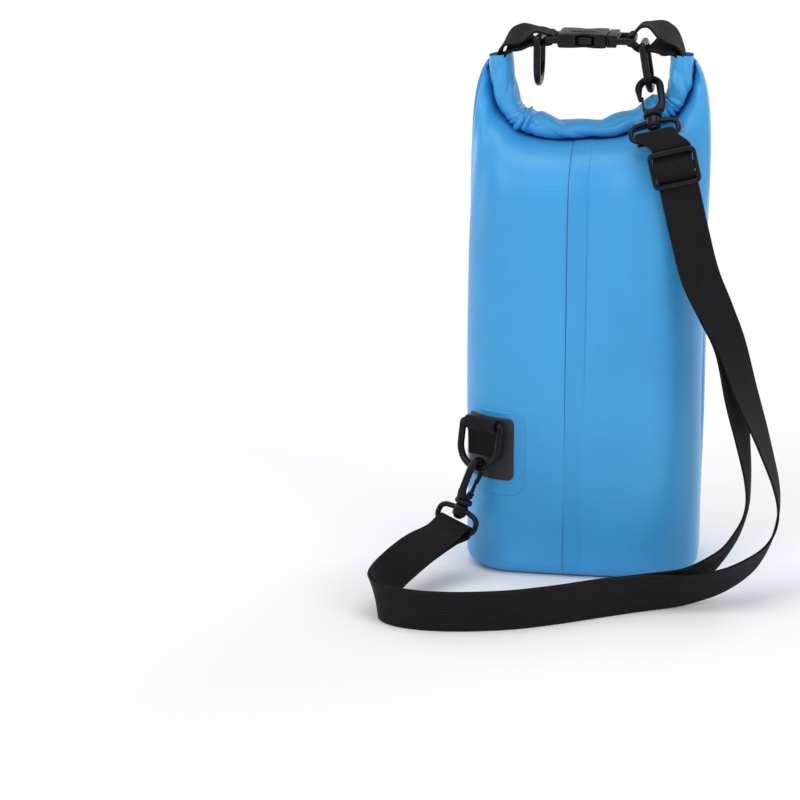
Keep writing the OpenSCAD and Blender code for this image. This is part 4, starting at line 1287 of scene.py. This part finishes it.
def make_buckle():
    z = BUCKLE_Z
    cheek, window = waisted(-10, 21, 17, 13.2, 4.3, 4.6), rounded(17, 12.5, 6, 9, 5.5, 0)
    parts = [plate("cheek", [cheek], z + low, z + high, 0.7, 3) for low, high in ((2.6, 4.5), (-4.5, -2.6))]
    parts += [plate("block", [rounded(12, 34, 2.6, 6, 15.2, 0)], z - 3.9, z + 3.9, 0.9, 3),
              buckle_bar(15.4, 21.8, 22.3)]
    parts += [plate("post", [rounded(7.6, 3.4, 1.2, 5, -6.1, y)], z - 4.3, z + 4.3, 0.6, 2)
              for y in (15.2, -15.2)]
    parts += [plate("pad", [window], z + low, z + high, 0.4, 3) for low,
              high in ((4.1, 4.95), (-4.95, -4.1))]
    socket = joined("buckle_socket_body", [paint(p, MOULDING) for p in parts], 32)
    finish_piece(socket, "buckle_socket", ("buckle_female",))
    grips = beads("buckle_socket_ribs",
                  [[(17.2, y, z + 3.95), (12.8, y, z + 3.95)] for y in (-9, -3, 3, 9)],
                  2.2, 1.0, 4.6, 0.9, MOULDING)
    finish_piece(grips, "buckle_socket")
    parts = [
        buckle_bar(17.7, -19.15, -20.8),
        plate("b", [waisted(-16.6, -10.3, 17, 15.8, -13.4, 2.4, 1.0, 12)], z - 4, z + 4, 0.9, 3),
        plate("c", [rounded(25, 4.8, 1.2, 5, 0, 0)], z - 2.2, z + 2.2, 0.5, 2),
    ]
    plug = joined("buckle_plug_body", [paint(p, MOULDING) for p in parts], 32)
    finish_piece(plug, "bag", ("buckle_male",))
    for name, body, node, flip in (("plug_arm_front", "front_prong", "prong_front", -1),
                                   ("plug_arm_back", "back_prong", "prong_back", 1)):
        keys = [(-10.3, 7.4), (-10.3, 10.4), (-6, 10.9), (-2.2, 11.7), (-1.2, 13.4), (-0.6, 15.9),
                (0.6, 16.7), (4, 16.9),
                (6.8, 16.2), (8.8, 14.6), (10.4, 11.8), (10.8, 9.6), (10.5, 8.3), (8, 8.0), (4, 8.4),
                (-3, 8.0)]
        outline = [(x, flip * y) for x, y in keys]
        arm = plate(name, [outline[::-1] if flip > 0 else outline], z - 2.2, z + 2.2, 0.45, 3)
        finish_piece(arm, body, (node,), MOULDING)


# ---------------------------------------------------------------- snap hooks
EYE_R, SWIVEL_WIRE_R = 7.0, 1.8
HUB_TOP, HUB_H, RING_BAR_Z = -24.2, 8.0, -40.0
UPPER_AT = np.array([-37.8, 10.8, 319.1])
UPPER_AXIS, UPPER_SIDE = unit([0.165, -0.721, 0.67]), np.array([-0.969, 0.009, 0.248])
LOWER_AXIS, LOWER_SIDE = unit([-0.339, -0.144, 0.93]), np.array([0.5, 0.866, 0])
LOWER_BAR_SIDE = np.array([0.85, -0.47, 0.237])
RING_DROP = RING_H - 2 * RING_R
LOWER_WIRE = (TAB_AT + LOWER_SIDE * (TAB_BAR_OUT + RING_DROP * math.sin(RING_LEAN))
              + np.array([0, 0, TAB_BAR_Z - RING_DROP * math.cos(RING_LEAN)]))
LOWER_AT = LOWER_WIRE - LOWER_AXIS * 1.9


def make_hook(prefix, place, bodies, nodes):
    """Hook body and its springy gate."""
    body, gate_body = bodies
    bow = [(-6.6, -8.2), (-7.0, -5), (-7.0, -2)]
    bow += [(-EYE_R * math.cos(a), EYE_R * math.sin(a)) for a in np.linspace(0, PI, 15)]
    bow += [(7.0, -3), (7.0, -7), (6.9, -11), (6.3, -14.5), (4.6, -17.4), (2.2, -19.2)]
    line = through([(x, 0, z) for x, z in bow], 5)
    places = np.linspace(0, 1, len(line))
    radii = 1.35 + 1.05 * smooth(places, 0.0, 0.16) + 0.25 * smooth(places, 0.8, 1.0)
    hook = [tube("bow", line, radii, 22)]
    web = [(-5.6, -19.6), (-5.7, -17.2), (-4.6, -16.2), (-2.2, -17.4), (1.5, -17.4), (4.4, -15.6),
           (6.6, -12.6), (8.6, -14.2),
           (8.0, -17.4), (5.8, -20.2)]
    web = [(x, z) for x, z, _ in through([(x, z, 0) for x, z in web + web[:1]], 4)[:-1]]
    hook.append(moved(plate("web", [web[::-1]], -2.3, 2.3, 0.9, 3), UPRIGHT))
    collar = [(0.5, -19.8), (3.6, -19.85), (5.2, -20.3), (5.85, -21.1), (6.0, -22.0), (5.85, -22.9),
              (5.3, -23.6), (4.2, -23.95), (0.5, -23.95)]
    foot = HUB_TOP - HUB_H
    shank = [(0.4, foot - 1.7), (1.9, foot - 1.65), (2.75, foot - 1.2), (3.0, foot - 0.8),
             (3.0, foot - 0.4), (1.8, foot - 0.3), (1.8, -23.5), (0.4, -23.5)]
    hook += [lathe("collar", collar), lathe("shank", shank)]
    piece = joined(prefix + "_hook_body", [moved(paint(h, MOULDING), place) for h in hook], 40)
    finish_piece(piece, body, (nodes[0],))
    tongue = through([(-4.7, 0, -16.6), (-5.3, 0, -14.2), (-5.45, 0, -11.4), (-5.3, 0, -8.8),
                      (-4.9, 0, -6.9)], 6)
    k = np.linspace(0, 1, len(tongue))
    gate = tube("gate", tongue, 1.55 - 0.45 * k, 16, False, (1.0, 0.5))
    pin = [(0.2, -2.3), (0.8, -2.25), (1.0, -2.0), (1.0, 2.0), (0.8, 2.25), (0.2, 2.3)]
    knob = moved(lathe("pin", pin, 20), Matrix.Translation(Vector((-4.9, 0, -16.4)) * MM) @ UPRIGHT)
    piece = joined(prefix + "_gate_tongue", [moved(paint(h, MOULDING), place) for h in (gate, knob)], 40)
    finish_piece(piece, gate_body, (nodes[1],))


def make_swivel(prefix, place, chain, node):
    """Hub round the hook's shank and a loop for the webbing, hollow on both sides of the hub."""
    half_w, half_h, r = 17 - SWIVEL_WIRE_R, 7.8 - SWIVEL_WIRE_R, 4.6
    mid = RING_BAR_Z + 6.0
    outline = rounded(2 * half_w, 2 * half_h, r, 8, 0, mid)
    dense = divided(outline, lambda i, run: max(1, int(run / 2.2)))
    # the top bar rises at the hub and falls away at its corners
    dense = [(x, 0, z + (0.9 * math.exp(-(x / 6) ** 2) - 0.9 * smooth(abs(x), 6, 15)) * (z > mid)) for x,
             z in dense]
    loop = tube("loop", dense, SWIVEL_WIRE_R, 18, True)
    low = HUB_TOP - HUB_H
    hub = lathe("hub", [(1.95, low), (3.7, low + 0.05), (4.35, low + 0.6), (4.6, low + 1.6),
                        (4.6, HUB_TOP - 2.2),
                        (4.45, HUB_TOP - 0.9), (3.9, HUB_TOP - 0.2), (3.2, HUB_TOP), (1.95, HUB_TOP)])
    piece = joined(prefix + "_swivel_loop", [moved(paint(h, MOULDING), place) for h in (loop, hub)], 40)
    finish_piece(piece, chain, (node,))


def make_hooks():
    upper = stand(UPPER_AT, UPPER_SIDE, UPPER_AXIS)
    lower = stand(LOWER_AT, LOWER_SIDE, LOWER_AXIS)
    lower_bar = stand(LOWER_AT, LOWER_BAR_SIDE, LOWER_AXIS)
    make_hook("upper", upper, ("upper_hook_body", "upper_gate_body"), ("upper_hook", "upper_gate"))
    make_hook("lower", lower, ("lower_hook_body", "lower_gate_body"), ("lower_hook", "lower_gate"))
    make_swivel("upper", upper, "upper_chain", "upper_swivel")
    make_swivel("lower", lower_bar, "lower_chain", "lower_swivel")


# ---------------------------------------------------------------- slider and shoulder strap
SLIDER_AT, SLIDER_AXIS = np.array([-57.5, 54, 275.7]), unit([0.24, -0.05, 0.969])
SLIDER_X = across(UPPER_SIDE, SLIDER_AXIS)
SLIDER_Y = np.cross(SLIDER_AXIS, SLIDER_X)
SLIDER_W_DIR = across(-UPPER_SIDE, SLIDER_AXIS)
BEND_R = SWIVEL_WIRE_R * math.sqrt(2) + 0.8 + WEB_T / 2
LAYER = 2.6


def on_slider(x, y, z):
    return SLIDER_AT + SLIDER_X * x + SLIDER_Y * y + SLIDER_AXIS * z


def bend(bar, away, face, w_dir):
    """Keys round a swivel's bar.

    away points from the webbing's legs to the bar, face to the side it starts on.
    """
    return [np.concatenate([bar + face * BEND_R * math.cos(a) + away * BEND_R * math.sin(a), w_dir])
            for a in np.radians(np.arange(-20, 201, 44))]


def leg(bar, away, face, w_dir, out, side):
    return [np.concatenate([bar - away * out + face * side, w_dir])]


TOP_RUN = [(-68.9, 53, 230, 0.97, 0.05, -0.23), (-76, 55, 207, 0.93, 0.3, -0.2),
           (-86.6, 57.5, 185.5, 0.8, 0.57, -0.2),
           (-96.7, 60, 164, 0.65, 0.74, -0.2)]
FRONT_DROP = [(-107, 62, 134, 0.5, 0.85, -0.1), (-119, 66, 103, 0.3, 0.93, 0.1),
              (-129, 71, 72, 0.1, 0.92, 0.3),
              (-129, 76, 50, -0.1, 0.8, 0.55), (-119, 82, 32, -0.3, 0.55, 0.78),
              (-100, 89, 19, -0.3, 0.45, 0.84),
              (-75, 98, 13, -0.15, 0.35, 0.92)]
BACK_DROP = [(-101, 61, 130, 0.5, 0.85, -0.1), (-106, 63, 103, 0.3, 0.93, 0.1),
             (-110, 67, 78, 0.1, 0.93, 0.2),
             (-110, 71, 60, 0, 0.88, 0.4), (-104, 77, 44, -0.15, 0.68, 0.7), (-92, 84, 29, -0.3, 0.5, 0.8),
             (-72, 93, 17, -0.2, 0.4, 0.88)]
GROUND_RUN = [(-48, 108, 12.6, 0, 0.12, 0.99), (-23, 122, 12.6, 0, 0, 1), (5.5, 140.3, 12.6, 0, 0, 1)]
GROUND_REST = [(5.5, 140.3, 12.6, 0, 0, 1), (35, 155, 12.6, 0, 0, 1), (70, 163, 12.6, 0, 0, 1),
               (97, 161, 12.6, 0, 0, 1),
               (114, 151, 13, 0.1, 0.02, 1), (118.5, 137, 15, 0.36, -0.06, 0.93),
               (115, 121, 19, 0.58, -0.14, 0.8),
               (107.5, 104, 23.5, 0.72, -0.26, 0.64), (98, 87, 28, 0.8, -0.38, 0.46)]


def make_strap():
    steps = 12
    upper_bar = UPPER_AT + UPPER_AXIS * RING_BAR_Z
    upper_back = np.cross(UPPER_AXIS, across(UPPER_SIDE, UPPER_AXIS))
    bar_dir = across(-UPPER_SIDE, UPPER_AXIS)
    top = bend(upper_bar, UPPER_AXIS, upper_back, bar_dir)
    top += leg(upper_bar - bar_dir * 3.4, UPPER_AXIS, upper_back, unit(bar_dir + SLIDER_W_DIR), 5, -3.7)
    top += [np.concatenate([on_slider(0, y, z), SLIDER_W_DIR]) for y, z in (
        (3.4, 13.5), (2.9, 8.6), (-2.2, 3.6), (-3.3, 0), (-2.2, -3.6), (2.6, -8.6), (2.6, -13.5))]
    path, widths = flat_keys(top, steps)
    thing = band("strap_hook_loop", path, widths, slant=True)
    finish_piece(thing, "upper_chain", ("strap_top_loop",), None,
                 ("slider", upper_bar - UPPER_AXIS * 6, on_slider(0, 0, 12)))

    joint = GROUND_REST[1:2]
    front = [np.concatenate([on_slider(0, 2.6, -13.5),
                             SLIDER_W_DIR])] + TOP_RUN + FRONT_DROP + GROUND_RUN + joint
    back = [np.concatenate([on_slider(0, 5, z), SLIDER_W_DIR]) for z in (-5, -13.5)]
    back += list(lifted(TOP_RUN, LAYER)) + BACK_DROP
    back += list(lifted(GROUND_RUN + joint, LAYER))
    for name, keys, node in (("strap_outer", front, "strap_front_run"),
                             ("strap_inner", back, "strap_back_run")):
        path, widths = flat_keys(np.array([list(k) for k in keys]), steps)
        thing = band(name, path, widths, (0, (len(keys) - 2) * steps + 1))
        finish_piece(thing, "bag", (node,), None,
                     ("upper_chain", (-97, 60, 166), (-64, 54, 247)))

    lower_bar = LOWER_AT + LOWER_AXIS * RING_BAR_Z
    w_dir = across(LOWER_BAR_SIDE, LOWER_AXIS)
    away = across(lower_bar - np.array(GROUND_REST[-1][:3]), w_dir)
    at_bar = (lower_bar, away, np.cross(w_dir, away), w_dir)
    rest = [list(k) for k in GROUND_RUN[-2:-1]] + [list(k) for k in GROUND_REST]
    out_layer = list(lifted(rest, LAYER))[::-1]
    turn = leg(*at_bar, 14, 1.7) + leg(*at_bar, 5.5, 3.1) + bend(*at_bar)
    turn += leg(*at_bar, 5.5, -3.1) + leg(*at_bar, 14, -1.7)
    keys = rest + [list(k) for k in turn] + out_layer
    path, widths = flat_keys(np.array([list(k) for k in keys]), steps)
    thing = band("strap_ground_loop", path, widths, (steps, (len(keys) - 2) * steps + 1))
    finish_piece(thing, "bag", ("strap_lower_loop",), None,
                 ("lower_chain", (100, 134, 15), (100, 84, 29)))


def make_slider():
    frame_plate = plate("slider_frame", [rounded(31, 24, 4, 8), rounded(25.8, 6.8, 1.8, 6, 0, 5.4),
                                         rounded(25.8, 6.8, 1.8, 6, 0, -5.4)], -1.7, 1.7, 1.0, 4)
    moved(frame_plate, stand(SLIDER_AT, UPPER_SIDE, SLIDER_AXIS) @ UPRIGHT)
    finish_piece(frame_plate, "slider", ("strap_slider",), MOULDING)


# ---------------------------------------------------------------- stage
def make_stage():
    scene = bpy.context.scene
    far_edge = 6000
    corners = [(x * far_edge, y * far_edge, 0) for x, y in ((-1, -1), (1, -1), (1, 1), (-1, 1))]
    floor = new_mesh("floor", corners, [(0, 1, 2, 3)])
    m, t, shader, out = material("floor_paper", 0.9)
    shader.inputs["Base Color"].default_value = (0.93, 0.93, 0.935, 1)
    place = object_place(t)
    far = t.add("ShaderNodeVectorMath", {0: place}, operation="LENGTH").outputs["Value"]
    bright = t.add("ShaderNodeEmission", {"Color": (1, 1, 1, 1), "Strength": 1.0}).outputs[0]
    washed = t.add("ShaderNodeMapRange", {0: far, 1: 0.2, 2: 0.75, 3: 0.0, 4: 1.0},
                   interpolation_type="SMOOTHSTEP")
    t.put(out.inputs["Surface"], t.add("ShaderNodeMixShader", {
        0: washed.outputs[0], 1: shader.outputs[0], 2: bright}).outputs[0])
    paint(floor, m)
    world = bpy.data.worlds.new("studio")
    scene.world = world
    world.use_nodes = True
    sky = Tree(world.node_tree)
    sky.tree.nodes.clear()
    seen = sky.add("ShaderNodeLightPath").outputs["Is Camera Ray"]
    lit = sky.add("ShaderNodeBackground", {"Color": (1, 1, 1, 1), "Strength": 0.5})
    paper = sky.add("ShaderNodeBackground", {"Color": (1, 1, 1, 1), "Strength": 1.0})
    either = sky.add("ShaderNodeMixShader", {0: seen, 1: lit.outputs[0], 2: paper.outputs[0]})
    sky.add("ShaderNodeOutputWorld", {"Surface": either.outputs[0]})

    def lamp(name, place, aim, size, power):
        light = bpy.data.lights.new(name, "AREA")
        light.shape, light.size, light.size_y, light.energy = "RECTANGLE", size[0], size[1], power
        thing = in_scene(name, light)
        thing.location = place
        thing.rotation_mode = "QUATERNION"
        thing.rotation_quaternion = (Vector(aim) - Vector(place)).to_track_quat("-Z", "Y")
    lamp("key", (0.9, 1.3, 1.25), (0, 0, 0.18), (0.9, 0.9), 9)
    lamp("fill", (-1.2, 1.0, 0.7), (0, 0, 0.16), (0.8, 1.1), 4.5)
    lamp("top", (0.0, 0.1, 1.6), (0, 0, 0.2), (1.2, 1.0), 8)
    lamp("front_key", (-0.9, -1.3, 1.1), (0, 0, 0.18), (0.9, 0.9), 8)
    lamp("front_fill", (1.2, -1.0, 0.6), (0, 0, 0.16), (0.8, 1.1), 4)
    scene.view_settings.view_transform = "Standard"
    scene.view_settings.look = "None"


def make_camera():
    """Back of the bag, a little from the strap's side and from above, seen through a long lens."""
    azimuth, rise, distance = math.radians(185), math.radians(13), 1.8
    back = Vector((math.sin(azimuth) * math.cos(rise), -math.cos(azimuth) * math.cos(rise), math.sin(rise)))
    aim = Vector((0, 0, 0.170))     # just under the middle of the bag, in metres
    place = aim + back * distance
    right = (-back).cross(Vector((0, 0, 1))).normalized()
    up = right.cross(-back)
    # the bag stands right of the middle and above it, where the lens is turned away from its centre
    offset_right, offset_up = 0.1228, 0.0614
    look = (aim - right * offset_right - up * offset_up - place).normalized()
    camera = bpy.data.cameras.new("camera")
    camera.sensor_width, camera.lens = 36, 122.715
    camera.clip_start, camera.clip_end = 0.05, 40
    thing = in_scene("camera", camera)
    thing.location = place
    thing.rotation_mode = "QUATERNION"
    thing.rotation_quaternion = look.to_track_quat("-Z", "Y")
    bpy.context.scene.camera = thing


make_camera()
make_stage()
make_bag()
make_base()
make_seam()
make_pocket()
make_stiffener()
make_tab()
make_rings()
make_handle()
make_buckle()
make_hooks()
make_slider()
make_strap()
